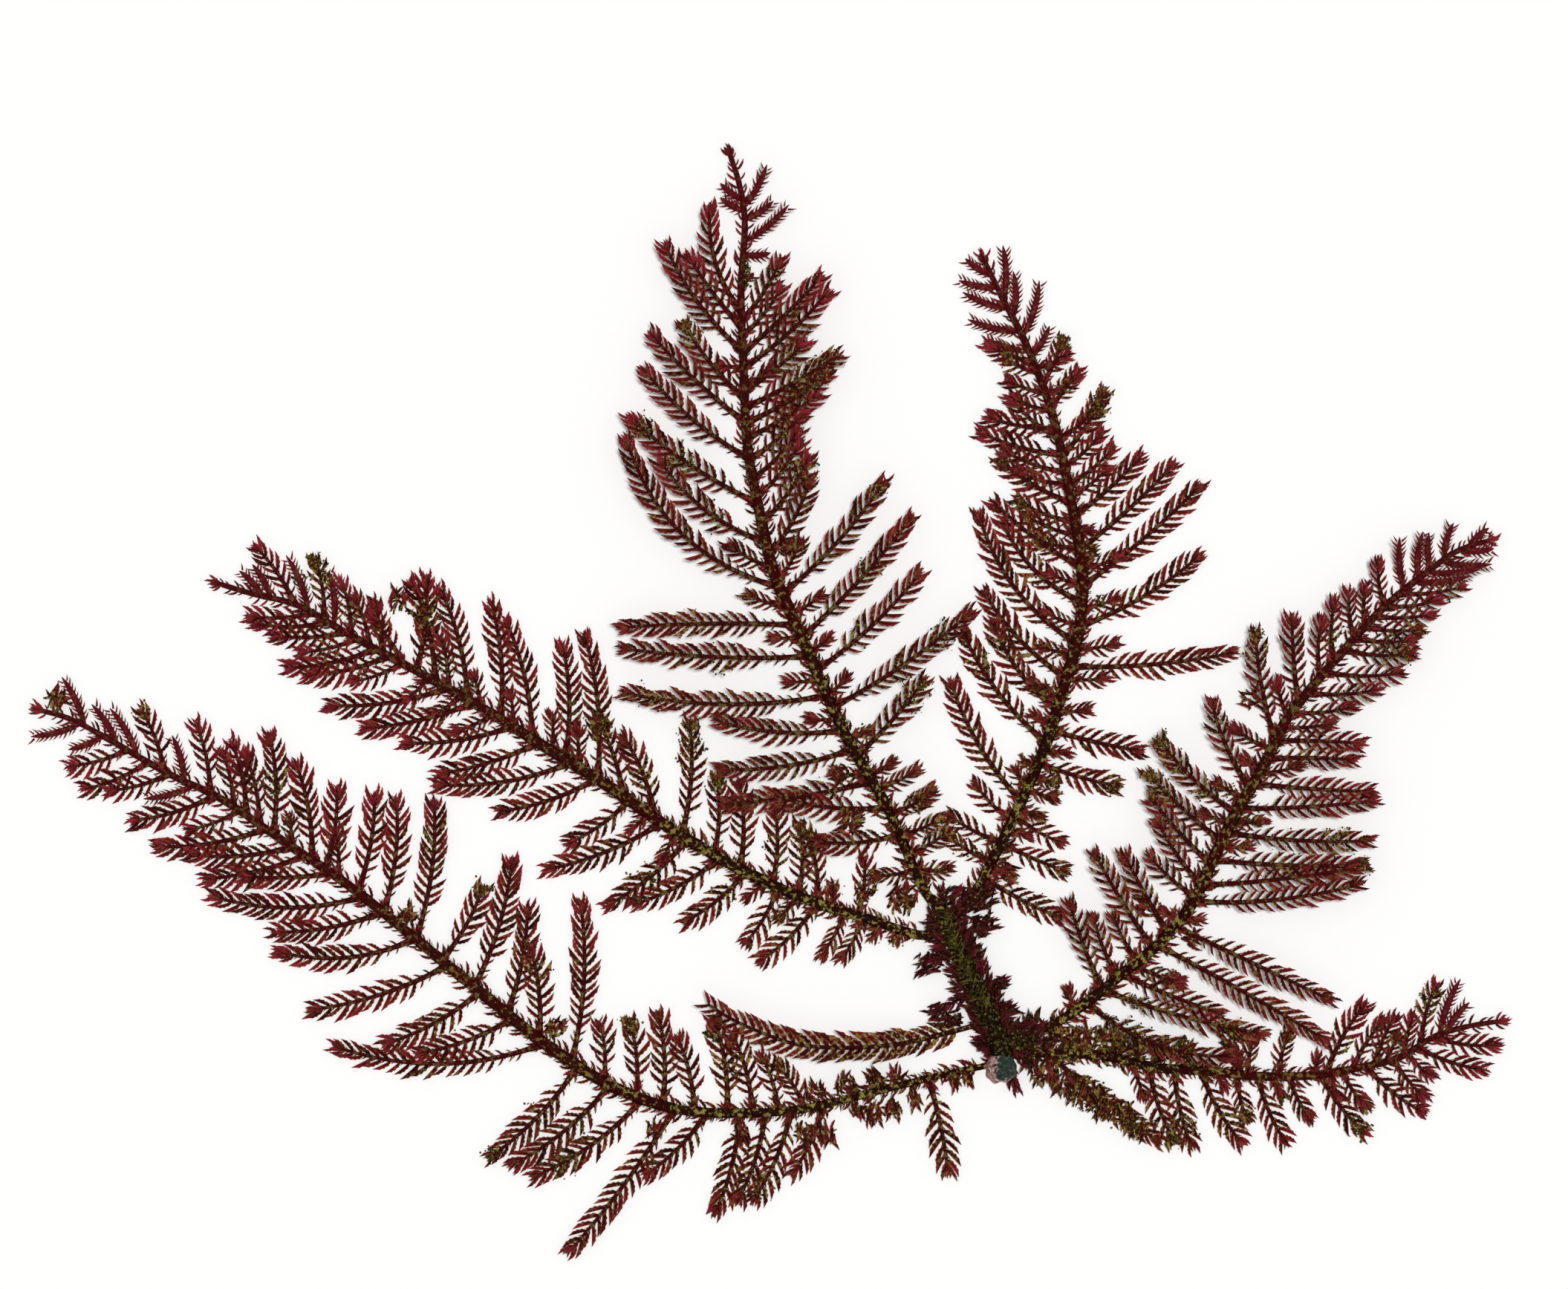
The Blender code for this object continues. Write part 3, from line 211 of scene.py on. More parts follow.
# Where epiphytes have crusted the blades: the middle and the reach of each patch.
CRUST_PATCHES = {
    "far_left_frond": [(-40.8, 13.4, 0.9), (-28.7, 3.1, 1.1), (-22.6, 1.9, 1.1), (-38.4, -7.2, 1.0),
        (-33.0, -8.0, 1.2), (-56.0, 21.5, 0.9), (-25.0, -9.0, 1.2), (-18.5, -8.5, 1.3),
        (-44.5, 18.2, 0.8)],
    "left_frond": [(-52.9, 37.9, 1.4), (-44.1, 34.6, 1.1), (-30.5, 26.1, 1.1), (-23.8, 25.0, 1.2),
        (-21.9, 22.4, 1.3), (-41.0, 29.2, 0.8), (-27.2, 15.2, 0.9), (-15.2, 17.0, 1.0)],
    "central_frond": [(-24.1, 56.3, 1.2), (-15.4, 53.3, 1.9), (-19.0, 61.2, 1.1), (-24.5, 46.1, 1.0),
        (-6.9, 28.5, 1.4), (-5.1, 33.4, 1.0), (-16.0, 45.6, 1.1), (-10.2, 38.2, 0.8), (-27.4, 48.6, 0.9)],
    "right_centre_frond": [(-1.7, 34.0, 0.9), (5.0, 56.0, 0.9), (7.8, 50.8, 1.0), (4.4, 21.8, 0.9),
        (1.4, 43.6, 0.9), (9.8, 22.8, 0.9)],
    "right_frond": [(13.0, 21.9, 1.8), (12.4, 24.8, 1.2), (19.7, 32.1, 1.1), (30.0, 32.1, 1.3),
        (10.0, 3.7, 1.7), (13.7, 2.6, 1.2), (17.6, 3.6, 1.1), (25.6, 17.4, 1.0), (28.0, 15.6, 0.9)],
    "lower_right_frond": [(7.0, -1.9, 1.6), (10.2, -3.8, 1.5), (5.0, 1.6, 1.3), (8.6, 1.8, 1.5),
        (12.4, 1.4, 1.5), (22.1, -2.9, 0.8), (13.8, -4.4, 1.2), (32.8, 4.8, 1.0), (28.0, -3.8, 1.0)],
}

# Where short young shoots crowd together: the middle and the reach of each thicket.
THICKETS = {
    "far_left_frond": [(-8.3, -3.1, 0.8), (-9.7, -3.4, 0.9), (-11.0, -3.3, 0.6), (-13.2, -5.0, 0.8),
        (-14.9, -5.0, 0.9), (-14.1, -2.1, 0.9), (-11.8, -1.4, 0.9), (-9.4, -0.9, 0.8), (-8.0, -0.8, 0.6),
        (-3.4, -1.0, 0.45), (-2.4, -0.7, 0.4), (-34.2, 3.0, 0.8), (-45.6, 11.6, 0.8), (-72.7, 28.3, 0.9),
        (-6.6, -2.4, 0.6), (-26.5, -4.6, 0.7), (-19.8, -5.2, 0.7)],
    "left_frond": [(-7.4, 12.9, 1.3), (-46.4, 36.0, 0.8), (-10.4, 13.4, 0.8)],
    "central_frond": [(-11.4, 19.1, 1.1), (-12.4, 22.6, 0.8), (-6.2, 20.4, 0.8), (-16.4, 40.0, 0.7)],
    "right_centre_frond": [(7.0, 39.6, 0.7), (3.4, 29.0, 0.6), (0.6, 15.2, 0.8)],
    "right_frond": [(17.9, 2.4, 1.1), (13.4, 6.8, 0.8), (14.8, 10.0, 0.7), (11.0, 12.4, 0.7),
        (19.4, 28.4, 0.7)],
    "lower_right_frond": [(3.3, -0.2, 1.1), (4.8, -1.0, 1.3), (6.4, -1.8, 1.3), (8.0, -2.6, 1.3),
        (9.5, -3.6, 1.1), (10.8, -4.6, 0.8), (4.6, 1.8, 1.2), (6.4, 2.0, 1.3), (8.2, 1.8, 1.2),
        (10.3, 1.5, 1.1), (12.4, 1.2, 1.0), (14.4, 1.0, 0.8)],
    "stem": [(-3.4, 12.6, 1.6), (-1.4, 13.0, 1.2), (-1.3, 10.9, 1.0), (-5.4, 8.2, 1.1),
        (-4.6, 11.0, 1.1), (-2.1, 8.8, 0.7), (0.7, 4.3, 0.8), (-0.3, 6.4, 0.7), (-4.7, 4.3, 0.8),
        (-3.5, 3.8, 0.8), (2.6, 3.6, 0.7), (-0.9, 1.6, 0.5), (1.3, 2.6, 0.8), (2.3, 1.6, 0.9),
        (3.4, 2.2, 0.9), (2.2, 0.4, 0.6)],
}


class Listing(Enum):
    """The axis of the fan that a frond's branches are listed by."""

    BY_X = 0
    BY_Y = 1


class Organ(Enum):
    """The small organs that a piece repeats; the value is its place among the templates."""

    LEFT_LEAFLET = 0
    RIGHT_LEAFLET = 1
    LEFT_SPINE = 2
    RIGHT_SPINE = 3
    BEAD = 4
    FILAMENT = 5

    @classmethod
    def leaflet(cls, side: float) -> "Organ":
        """Return the leaflet for a line's left, where side is above 0, or for its right."""
        return cls.LEFT_LEAFLET if side > 0 else cls.RIGHT_LEAFLET

    @classmethod
    def spine(cls, side: float) -> "Organ":
        """Return the spine for a line's left, where side is above 0, or for its right."""
        return cls.LEFT_SPINE if side > 0 else cls.RIGHT_SPINE

    def is_epiphyte(self) -> bool:
        """Return whether the organ grows on the plant and isn't part of it."""
        return self in (Organ.BEAD, Organ.FILAMENT)


def linear(hex_colour: str) -> tuple[float, float, float, float]:
    """Turn an sRGB hex colour to linear red, green, blue and alpha.

    Args:
        hex_colour: the colour as "#rrggbb".

    Returns:
        The linear colour with alpha 1.
    """
    channels = []
    for i in (1, 3, 5):
        value = int(hex_colour[i:i + 2], 16) / 255.0
        low = value <= 0.04045
        channels.append(value / 12.92 if low else ((value + 0.055) / 1.055) ** 2.4)
    return (channels[0], channels[1], channels[2], 1.0)


def show(name: str, data: bpy.types.ID, shelf: bpy.types.Collection | None = None) -> Thing:
    """Make an object for some data and link it to a shelf, or else to the scene."""
    thing = bpy.data.objects.new(name, data)
    (shelf or bpy.context.scene.collection).objects.link(thing)
    return thing


def make_mesh(name: str, corners: list[Spot], faces: list[tuple[int, ...]],
              floats: dict[str, list[float]], smooth: bool = False) -> bpy.types.Mesh:
    """Make a mesh whose faces look outwards.

    Args:
        name: the mesh's name.
        corners: its vertices, in millimetres.
        faces: the corners of each face.
        floats: its vertices' values, by the attribute's name.
        smooth: whether it is shaded smooth.

    Returns:
        The mesh.
    """
    mesh = bpy.data.meshes.new(name)
    mesh.from_pydata([tuple(c * MM for c in corner) for corner in corners], [], faces)
    shape = bmesh.new()
    shape.from_mesh(mesh)
    bmesh.ops.recalc_face_normals(shape, faces=shape.faces)
    shape.to_mesh(mesh)
    shape.free()
    mesh.polygons.foreach_set("use_smooth", [smooth] * len(mesh.polygons))
    for attribute, values in floats.items():
        mesh.attributes.new(attribute, "FLOAT", "POINT").data.foreach_set("value", values)
    return mesh


class Nodes:
    """One node tree, with short ways to add to it."""

    def __init__(self, tree: bpy.types.NodeTree) -> None:
        """Hold the tree."""
        self.tree = tree

    def feed(self, node: bpy.types.Node, inputs: dict) -> None:
        """Set a node's inputs, by name or index, to values or to other nodes' sockets."""
        for key, value in inputs.items():
            if isinstance(value, Socket):
                self.tree.links.new(value, node.inputs[key])
            else:
                node.inputs[key].default_value = value

    def add(self, kind: str, inputs: dict | None = None, **settings: object) -> bpy.types.Node:
        """Add a node.

        Args:
            kind: the node's type name.
            inputs: values or output sockets, by input name or index.
            **settings: the node's own properties.

        Returns:
            The new node.
        """
        node = self.tree.nodes.new(kind)
        for key, value in settings.items():
            setattr(node, key, value)
        self.feed(node, inputs or {})
        return node


class Coat(Nodes):
    """A new material, with short ways to mix its colours."""

    def __init__(self, name: str) -> None:
        """Make the material."""
        self.material = bpy.data.materials.new(name)
        self.material.use_nodes = True
        super().__init__(self.material.node_tree)

    def place(self) -> Socket:
        """Return the place on the object."""
        return self.add("ShaderNodeTexCoord").outputs["Object"]

    def attribute(self, name: str) -> Socket:
        """Return the value that the mesh carries under a name."""
        return self.add("ShaderNodeAttribute", attribute_name=name).outputs["Fac"]

    def noise(self, grain_mm: float, detail: float, roughness: float = 0.5) -> Socket:
        """Return noise whose grains are of a size in millimetres."""
        return self.add("ShaderNodeTexNoise", {
            "Vector": self.place(), "Scale": 1.0 / (grain_mm * MM), "Detail": detail,
            "Roughness": roughness}).outputs["Fac"]

    def ramp(self, factor: Socket, stops: list[tuple[float, str]]) -> Socket:
        """Add a colour ramp.

        Args:
            factor: the socket that drives the ramp.
            stops: places from 0 to 1 with their hex colours.

        Returns:
            The ramp's colour.
        """
        node = self.add("ShaderNodeValToRGB", {"Fac": factor})
        elements = node.color_ramp.elements
        while len(elements) < len(stops):
            elements.new(0.5)
        for element, (place, colour) in zip(elements, stops):
            element.position, element.color = place, linear(colour)
        return node.outputs["Color"]

    def blend(self, factor: object, first: Socket, second: object, mode: str = "MIX") -> Socket:
        """Mix two colours.

        Args:
            factor: a number or socket, how much of the second colour shows.
            first: the first colour's socket.
            second: the second colour, as a hex colour or a socket.
            mode: the blend type.

        Returns:
            The mixed colour.
        """
        second = linear(second) if isinstance(second, str) else second
        return self.add("ShaderNodeMix", {0: factor, 6: first, 7: second}, data_type="RGBA",
                        blend_type=mode).outputs[2]

    def maths(self, operation: str, *values: object) -> Socket:
        """Add a sum on numbers and sockets, whose result is kept from 0 to 1."""
        return self.add("ShaderNodeMath", dict(enumerate(values)), operation=operation,
                        use_clamp=True).outputs[0]

    def times(self, first: object, second: object) -> Socket:
        """Multiply two numbers or sockets."""
        return self.maths("MULTIPLY", first, second)

    def relief(self, grain: Socket, strength: float, depth_mm: float) -> Socket:
        """Return the normals of a surface that a grain makes rough."""
        return self.add("ShaderNodeBump", {"Strength": strength, "Distance": depth_mm * MM,
                                           "Height": grain}).outputs["Normal"]

    def finish(self, inputs: dict) -> Finish:
        """Feed the shader and return the material."""
        self.feed(self.tree.nodes["Principled BSDF"], inputs)
        return self.material


@dataclass(frozen=True)
class DriedThallus:
    """Pressed red-algal thallus: air-dried and matt, olive when old and crimson at the tips.

    The eye sees a dark wine red that shifts from leaflet to leaflet, a little sheen where a
    blade has dried taut, and yellow-olive epiphyte specks about 0.3 mm across.
    """

    name: str = "dried_red_thallus"
    oldest: str = "#300806"
    old: str = "#55100c"
    grown: str = "#631016"
    young: str = "#861e34"
    tip: str = "#a4344c"
    speck: str = "#8a8430"
    dull_speck: str = "#786e2e"
    mottle: str = "#877a3e"
    # Paler, warmer rim colour: partly the blades' own edge tone, partly painted light shining through
    # their thin edges.
    rim_colour_and_glow: str = "#b04a36"
    stain: str = "#1c140a"
    bead: str = "#463e17"
    speck_size_mm: float = 0.40
    roughness: float = 0.75

    def build(self) -> Finish:
        """Return the finish's material."""
        coat = Coat(self.name)
        tint, vary, along, rim, crust = (
            coat.attribute(name) for name in ("tint", "vary", "along", "rim", "crust"))
        body = coat.ramp(tint, [(0.0, self.oldest), (0.3, self.old), (0.68, self.grown),
                                (1.0, self.young)])
        tipness = coat.times(coat.maths("POWER", along, 2.0), coat.times(tint, 0.7))
        body = coat.blend(tipness, body, self.tip)
        shade = coat.ramp(vary, [(0.0, "#6c5c5c"), (0.45, "#c6baba"), (1.0, "#ffffff")])
        body = coat.blend(1.0, body, shade, "MULTIPLY")
        foot = coat.ramp(along, [(0.0, "#786464"), (0.4, "#ded4d4"), (1.0, "#ffffff")])
        body = coat.blend(1.0, body, foot, "MULTIPLY")
        grain = coat.noise(self.speck_size_mm, 3.0, 0.6)
        patch = coat.noise(9.0 * self.speck_size_mm, 2.0)
        age = coat.maths("SUBTRACT", 1.15, tint)
        stained = coat.times(coat.maths("GREATER_THAN", patch, 0.5), age)
        body = coat.blend(coat.times(stained, 0.35), body, self.stain)
        speckle = coat.times(coat.maths("SUBTRACT", grain, 0.53), 12.0)
        speckle = coat.times(speckle, coat.maths("POWER", age, 2.2))
        body = coat.blend(speckle, body, self.mottle)
        # Paler, warmer rims, dimmer on dark organs: partly the blades' own edge tone, partly painted
        # light shining through their thin edges.
        rim_colour_and_glow_share = coat.times(coat.maths("POWER", rim, 2.0),
                            coat.maths("MULTIPLY_ADD", vary, 0.46, 0.18))
        body = coat.blend(rim_colour_and_glow_share, body, self.rim_colour_and_glow)
        beads = coat.ramp(vary, [(0.0, self.stain), (0.6, self.bead), (0.88, self.dull_speck),
                                 (1.0, self.speck)])
        return coat.finish({
            "Base Color": coat.blend(crust, body, beads), "Roughness": self.roughness,
            "IOR": 1.45, "Specular IOR Level": 0.04, "Normal": coat.relief(grain, 0.5, 0.05)})


@dataclass(frozen=True)
class HoldfastCrust:
    """Coralline crust on a holdfast: dry, chalky and pink, over a dark green-black core."""

    name: str = "pink_coralline_crust"
    rim: str = "#a87f7d"
    pale: str = "#c9aaa4"
    ring: str = "#5c3a38"
    core_shade: str = "#0d1411"
    core: str = "#22302a"
    moss: str = "#3c4c3e"
    fleck: str = "#8c8a58"
    west_edge_mm: float = 0.42
    south_edge_mm: float = 0.92
    centre_mm: Pair = (0.15, -0.05)
    grain_mm: float = 0.25

    def build(self) -> Finish:
        """Return the finish's material."""
        coat = Coat(self.name)
        centred = coat.add("ShaderNodeMapping", {"Vector": coat.place(), "Location": (
            -self.centre_mm[0] * MM, -self.centre_mm[1] * MM, 0.0)}).outputs["Vector"]
        across = coat.add("ShaderNodeSeparateXYZ", {"Vector": centred}).outputs
        grain = coat.noise(self.grain_mm, 4.0)
        west, south = (
            coat.maths("MULTIPLY_ADD", across[axis], -0.5 / MM, 0.5 - edge / 2)
            for axis, edge in (("X", self.west_edge_mm), ("Y", self.south_edge_mm)))
        ragged = coat.times(coat.maths("MAXIMUM", west, south), 0.6)
        ragged = coat.maths("MULTIPLY_ADD", grain, 0.4, ragged)
        core = coat.ramp(grain, [(0.30, self.core_shade), (0.48, self.core), (0.62, self.moss),
                                 (0.72, self.fleck)])
        crust = coat.ramp(grain, [(0.35, self.ring), (0.5, self.rim), (0.7, self.pale)])
        edge = coat.ramp(ragged, [(0.48, "#000000"), (0.52, "#ffffff")])
        return coat.finish({"Base Color": coat.blend(edge, core, crust), "Roughness": 0.85,
                            "Normal": coat.relief(grain, 0.8, 0.1)})


@dataclass(frozen=True)
class MountingPaper:
    """Smooth white mounting paper, near white and without gloss."""

    name: str = "mounting_paper"
    colour: str = "#fcfcfb"

    def build(self) -> Finish:
        """Return the finish's material."""
        return Coat(self.name).finish({"Base Color": linear(self.colour), "Roughness": 0.95,
                                       "Specular IOR Level": 0.1})


class Route:
    """A line on the fan that distances are measured along."""

    def __init__(self, points: np.ndarray) -> None:
        """Hold the points of the line, in millimetres."""
        self.points = points
        steps = np.linalg.norm(np.diff(points, axis=0), axis=1)
        self.lengths = np.concatenate([[0.0], np.cumsum(steps)])
        self.length = float(self.lengths[-1])

    @classmethod
    def through(cls, knots: list[Pair], samples: int = 10) -> "Route":
        """Make a smooth line through knots.

        Args:
            knots: the points that it passes.
            samples: points for each stretch between two knots.

        Returns:
            The line.
        """
        given = np.array(knots, dtype=float)
        padded = np.vstack([2 * given[0] - given[1], given, 2 * given[-1] - given[-2]])
        route = []
        for i in range(len(given) - 1):
            before, start, end, after = padded[i:i + 4]
            for u in np.arange(samples) / samples:
                route.append(0.5 * (2 * start + (end - before) * u
                                    + (2 * before - 5 * start + 4 * end - after) * u ** 2
                                    + (3 * start - before - 3 * end + after) * u ** 3))
        route.append(given[-1])
        return cls(np.array(route))

    @classmethod
    def bowed(cls, root: np.ndarray, tip: np.ndarray, bow: np.ndarray,
              samples: int = 14) -> "Route":
        """Make a bowed line from root to tip whose middle handle is moved by bow."""
        middle = (root + tip) / 2 + bow
        u = np.linspace(0, 1, samples + 1)[:, None]
        return cls((1 - u) ** 2 * root + 2 * u * (1 - u) * middle + u ** 2 * tip)

    def at(self, distance: float, aside: float = 0.0) -> tuple[np.ndarray, float]:
        """Find a place by its distance along the line.

        Args:
            distance: how far along, kept within the line.
            aside: how far to the left of the line.

        Returns:
            The point, and the line's heading there in radians.
        """
        distance = min(max(distance, 0.0), self.length)
        point = np.array([np.interp(distance, self.lengths, self.points[:, axis])
                          for axis in (0, 1)])
        i = min(max(int(np.searchsorted(self.lengths, distance)), 1), len(self.points) - 1)
        ahead = self.points[i] - self.points[i - 1]
        heading = math.atan2(ahead[1], ahead[0])
        return point + aside * np.array([-math.sin(heading), math.cos(heading)]), heading

    def nearest(self, point: Pair) -> tuple[np.ndarray, float]:
        """Return the line's point nearest to a point, and how far apart they are."""
        away = np.hypot(*(self.points - point).T)
        return self.points[int(away.argmin())], float(away.min())


def eased_lift(distance: float, start: float, run: float) -> float:
    """Return the lift at a distance, easing from nothing to the full crossing lift."""
    share = min(max((distance - start) / run, 0.0), 1.0)
    return CROSSING_LIFT * share * share * (3 - 2 * share)


@dataclass
class Sprig:
    """One small organ: lengths in millimetres, its roll, dip and heading in radians."""

    organ: Organ
    place: Spot
    turn: Spot
    size: float
    tint: float
    vary: float


@dataclass(frozen=True)
class Habit:
    """How one sort of organ stands: each value is a number, or a range to draw from.

    Heights and sizes are in millimetres, rolls and dips in radians, leans in degrees.
    """

    heights: float | Pair = 0.0
    rolls: float | Pair = 0.0
    dips: float | Pair = 0.0
    leans: float | Pair = 0.0
    sizes: float | Pair = 1.0
    tints: float | Pair = 0.0
    varies: Pair = (0.0, 1.0)
    darkness: float = 1.0


CRUST_BEAD = Habit(heights=(0.0, 0.16), rolls=(0, 3), dips=(0, 3), sizes=(0.11, 0.25), darkness=1.3)
THICKET_BEAD = Habit(heights=0.08, sizes=(0.10, 0.20))
FROND_BEAD = Habit(sizes=(0.10, 0.20), darkness=1.5)
STEM_BEAD = Habit(rolls=(0, 3), sizes=(0.10, 0.26), darkness=1.5)
RIB_SPINE = Habit(leans=48.0, sizes=(0.36, 0.66))
SAW_TOOTH = Habit(leans=(38, 55), sizes=(0.46, 0.74), tints=(0.5, 0.85), varies=(0.4, 1.0))
TUFT_LEAFLET = Habit(heights=(-0.04, 0.12), rolls=(-0.4, 0.4), dips=(-0.2, 0.0), leans=52.0,
                     sizes=(0.75, 1.25), tints=(-0.2, 0.1))
FRINGE_LEAFLET = Habit(heights=0.32, rolls=(-0.4, 0.4), leans=(38, 72), sizes=(0.5, 1.25),
                       tints=(0.0, 0.15))
FRINGE_FUZZ = Habit(heights=(0.2, 0.45), leans=(40, 95), sizes=(0.25, 0.6))
SIDE_BRANCH_LEAFLET = Habit(rolls=(-0.25, 0.25), leans=(50, 62), sizes=(0.88, 1.1))
STEM_FUZZ = Habit(heights=(0.3, 1.0), rolls=(-0.5, 0.5), dips=(-0.15, 0.15), leans=(30, 95),
                  sizes=(0.6, 1.35), tints=(0.15, 0.85), darkness=1.8)
STEM_TUFT_LEAFLET = Habit(heights=(0.3, 0.5), rolls=(-0.4, 0.4), leans=(18, 55),
                          sizes=(0.6, 1.1), tints=(0.6, 0.95))
CREEPING_THREAD = Habit(heights=(1.22, 1.42), rolls=(-0.3, 0.3), dips=(0.2, 0.6),
                        leans=(30, 80), sizes=(0.6, 1.15), varies=(0.30, 0.95))


@dataclass
class Foliage:
    """The small organs of one piece, set out by its own seeded chance."""

    rng: random.Random
    sprigs: list[Sprig] = field(default_factory=list)
    crusted_tint: float = 0.35
    bead_scatter: float = 0.09
    thicket_density: int = 26
    thicket_beaded: float = 0.4

    def add(self, organ: Organ, foot: Pair, height: float, turn: Spot, size: float,
            tint: float, vary: float) -> None:
        """Add one organ.

        Args:
            organ: which template it repeats.
            foot: where it stands on the fan.
            height: how high its foot is over the paper.
            turn: its roll, dip and heading, in radians.
            size: its length, in millimetres.
            tint: 0 for the oldest olive brown, 1 for the youngest crimson.
            vary: its own shade, 0 to 1.
        """
        tint = min(max(tint, 0.0), 1.0)
        self.sprigs.append(Sprig(organ, (foot[0], foot[1], height), turn, size, tint, vary))

    def draw(self, given: float | Pair) -> float:
        """Return a number as it is, or draw one from a range."""
        return self.rng.uniform(*given) if isinstance(given, tuple) else given

    def sprout(self, habit: Habit, organ: Organ, foot: Pair, heading: float = 0.0,
               side: float = 0.0, rise: float = 0.0, scale: float = 1.0,
               tint: float = 0.0) -> None:
        """Add one organ by its habit.

        Args:
            habit: what its height, turn, size and colour are drawn from.
            organ: which template it repeats.
            foot: where it stands on the fan.
            heading: the heading of the line that bears it.
            side: how much of the habit's lean it has, negative to the line's right.
            rise: what is added to its height.
            scale: what its size is multiplied by.
            tint: what is added to its tint.
        """
        self.add(organ, foot, rise + self.draw(habit.heights),
                 (self.draw(habit.rolls), self.draw(habit.dips),
                  heading + side * math.radians(self.draw(habit.leans))),
                 scale * self.draw(habit.sizes), tint + self.draw(habit.tints),
                 self.draw(habit.varies) ** habit.darkness)

    def add_crust(self, x: float, y: float, reach: float, count: int) -> None:
        """Scatter epiphyte beads on the organs about a point, and darken those organs.

        Args:
            x: the patch's middle on the fan, in millimetres.
            y: the same, from the holdfast towards the tips.
            reach: the patch's radius.
            count: how many beads it has.
        """
        rng = self.rng
        near = [sprig for sprig in self.sprigs if not sprig.organ.is_epiphyte()
                and math.hypot(sprig.place[0] - x, sprig.place[1] - y) < reach]
        if not near:
            return
        for sprig in near:
            sprig.tint *= self.crusted_tint
        for _ in range(count):
            sprig = rng.choice(near)
            forward, heading = rng.uniform(0.1, 0.9) * sprig.size, sprig.turn[2]
            foot = (sprig.place[0] + forward * math.cos(heading) + rng.gauss(0, self.bead_scatter),
                    sprig.place[1] + forward * math.sin(heading) + rng.gauss(0, self.bead_scatter))
            self.sprout(CRUST_BEAD, Organ.BEAD, foot, rise=sprig.place[2])

    def add_thicket(self, x: float, y: float, reach: float, bearer: np.ndarray,
                    height: float) -> None:
        """Crowd short young leaflets about a point, as where many small shoots have sprung.

        Args:
            x: the thicket's middle on the fan, in millimetres.
            y: the same, from the holdfast towards the tips.
            reach: the thicket's radius.
            bearer: the point of the stem that bears it, which the shoots lead away from.
            height: its height over the paper.
        """
        rng = self.rng
        away = math.atan2(y - bearer[1], x - bearer[0])
        for _ in range(int(self.thicket_density * reach ** 2) + 6):
            out, turn = reach * math.sqrt(rng.random()) * 0.85, rng.uniform(0, 2 * math.pi)
            heading = away + rng.gauss(0.0, 0.75)
            back = rng.uniform(0.1, 0.5)
            foot = (x + out * math.cos(turn) - back * math.cos(heading),
                    y + out * math.sin(turn) - back * math.sin(heading))
            z = height + rng.uniform(-0.1, 0.35)
            # Most thicket leaflets are drawn dark: painted shade for the crowded shoots' interior, over
            # each leaflet's own random tone.
            self.add(Organ.leaflet(heading - away), foot, z,
                     (rng.uniform(-0.7, 0.7), rng.uniform(-0.15, 0.15), heading),
                     rng.uniform(0.6, 1.25), rng.uniform(0.0, 1.0) ** 1.5, rng.random() ** 2.6)
            if rng.random() < self.thicket_beaded:
                self.sprout(THICKET_BEAD, Organ.BEAD, foot, rise=z)

    def points(self, name: str) -> Thing:
        """Return an object whose vertices carry the organs' attributes."""
        floats = {key: [getattr(sprig, key) for sprig in self.sprigs]
                  for key in ("size", "tint", "vary")}
        floats["crust"] = [float(sprig.organ.is_epiphyte()) for sprig in self.sprigs]
        mesh = make_mesh(name, [sprig.place for sprig in self.sprigs], [], floats)
        kinds = mesh.attributes.new("kind", "INT", "POINT")
        kinds.data.foreach_set("value", [sprig.organ.value for sprig in self.sprigs])
        turns = mesh.attributes.new("turn", "FLOAT_VECTOR", "POINT")
        turns.data.foreach_set("vector", [c for sprig in self.sprigs for c in sprig.turn])
        return show(name, mesh)


@dataclass
class Strands:
    """Tapering round strands, the main stems and ribs, gathered into one closed mesh.

    Each corner's look is its tint, its own shade, and how far it is along from foot to tip.
    """

    corners: list[Spot] = field(default_factory=list)
    faces: list[tuple[int, ...]] = field(default_factory=list)
    looks: list[Spot] = field(default_factory=list)

    def add(self, rings: list[list[float]], sides: int, flatness: float = 0.8,
            along: float = 0.28) -> None:
        """Add one strand.

        Args:
            rings: x, y, z, half width and tint at each spot of its middle line.
            sides: how many faces go round it.
            flatness: its height over its width.
            along: how pale it is, as a leaflet is from foot, 0, to tip, 1.
        """
        line = np.array(rings)[:, :3]
        first = len(self.corners)
        for i, (spot, (*_, radius, tint)) in enumerate(zip(line, rings)):
            ahead = line[min(i + 1, len(line) - 1)] - line[max(i - 1, 0)]
            flat = math.hypot(ahead[0], ahead[1]) or 1.0
            side = np.array([-ahead[1] / flat, ahead[0] / flat, 0.0])
            for k in range(sides):
                angle = 2 * math.pi * (k + 0.5) / sides
                corner = spot + side * radius * math.cos(angle)
                corner[2] += radius * flatness * math.sin(angle)
                self.corners.append((corner[0], corner[1], max(corner[2], 0.0)))
                self.looks.append((tint, 0.35 + 0.4 * math.sin(0.9 * i + 2.1 * k) ** 2, along))
        last = first + (len(line) - 1) * sides
        for row in range(first, last, sides):
            for k in range(sides):
                a, b = row + k, row + (k + 1) % sides
                self.faces.append((a, a + sides, b + sides, b))
        self.faces += [tuple(range(first, first + sides)),
                       tuple(range(last + sides - 1, last - 1, -1))]

    def build(self, name: str) -> Thing:
        """Return the strands as one object with its attributes."""
        tints, varies, alongs = zip(*self.looks)
        none = [0.0] * len(self.corners)
        return show(name, make_mesh(name, self.corners, self.faces, {
            "tint": tints, "vary": varies, "along": alongs, "rim": none, "crust": none}, True))


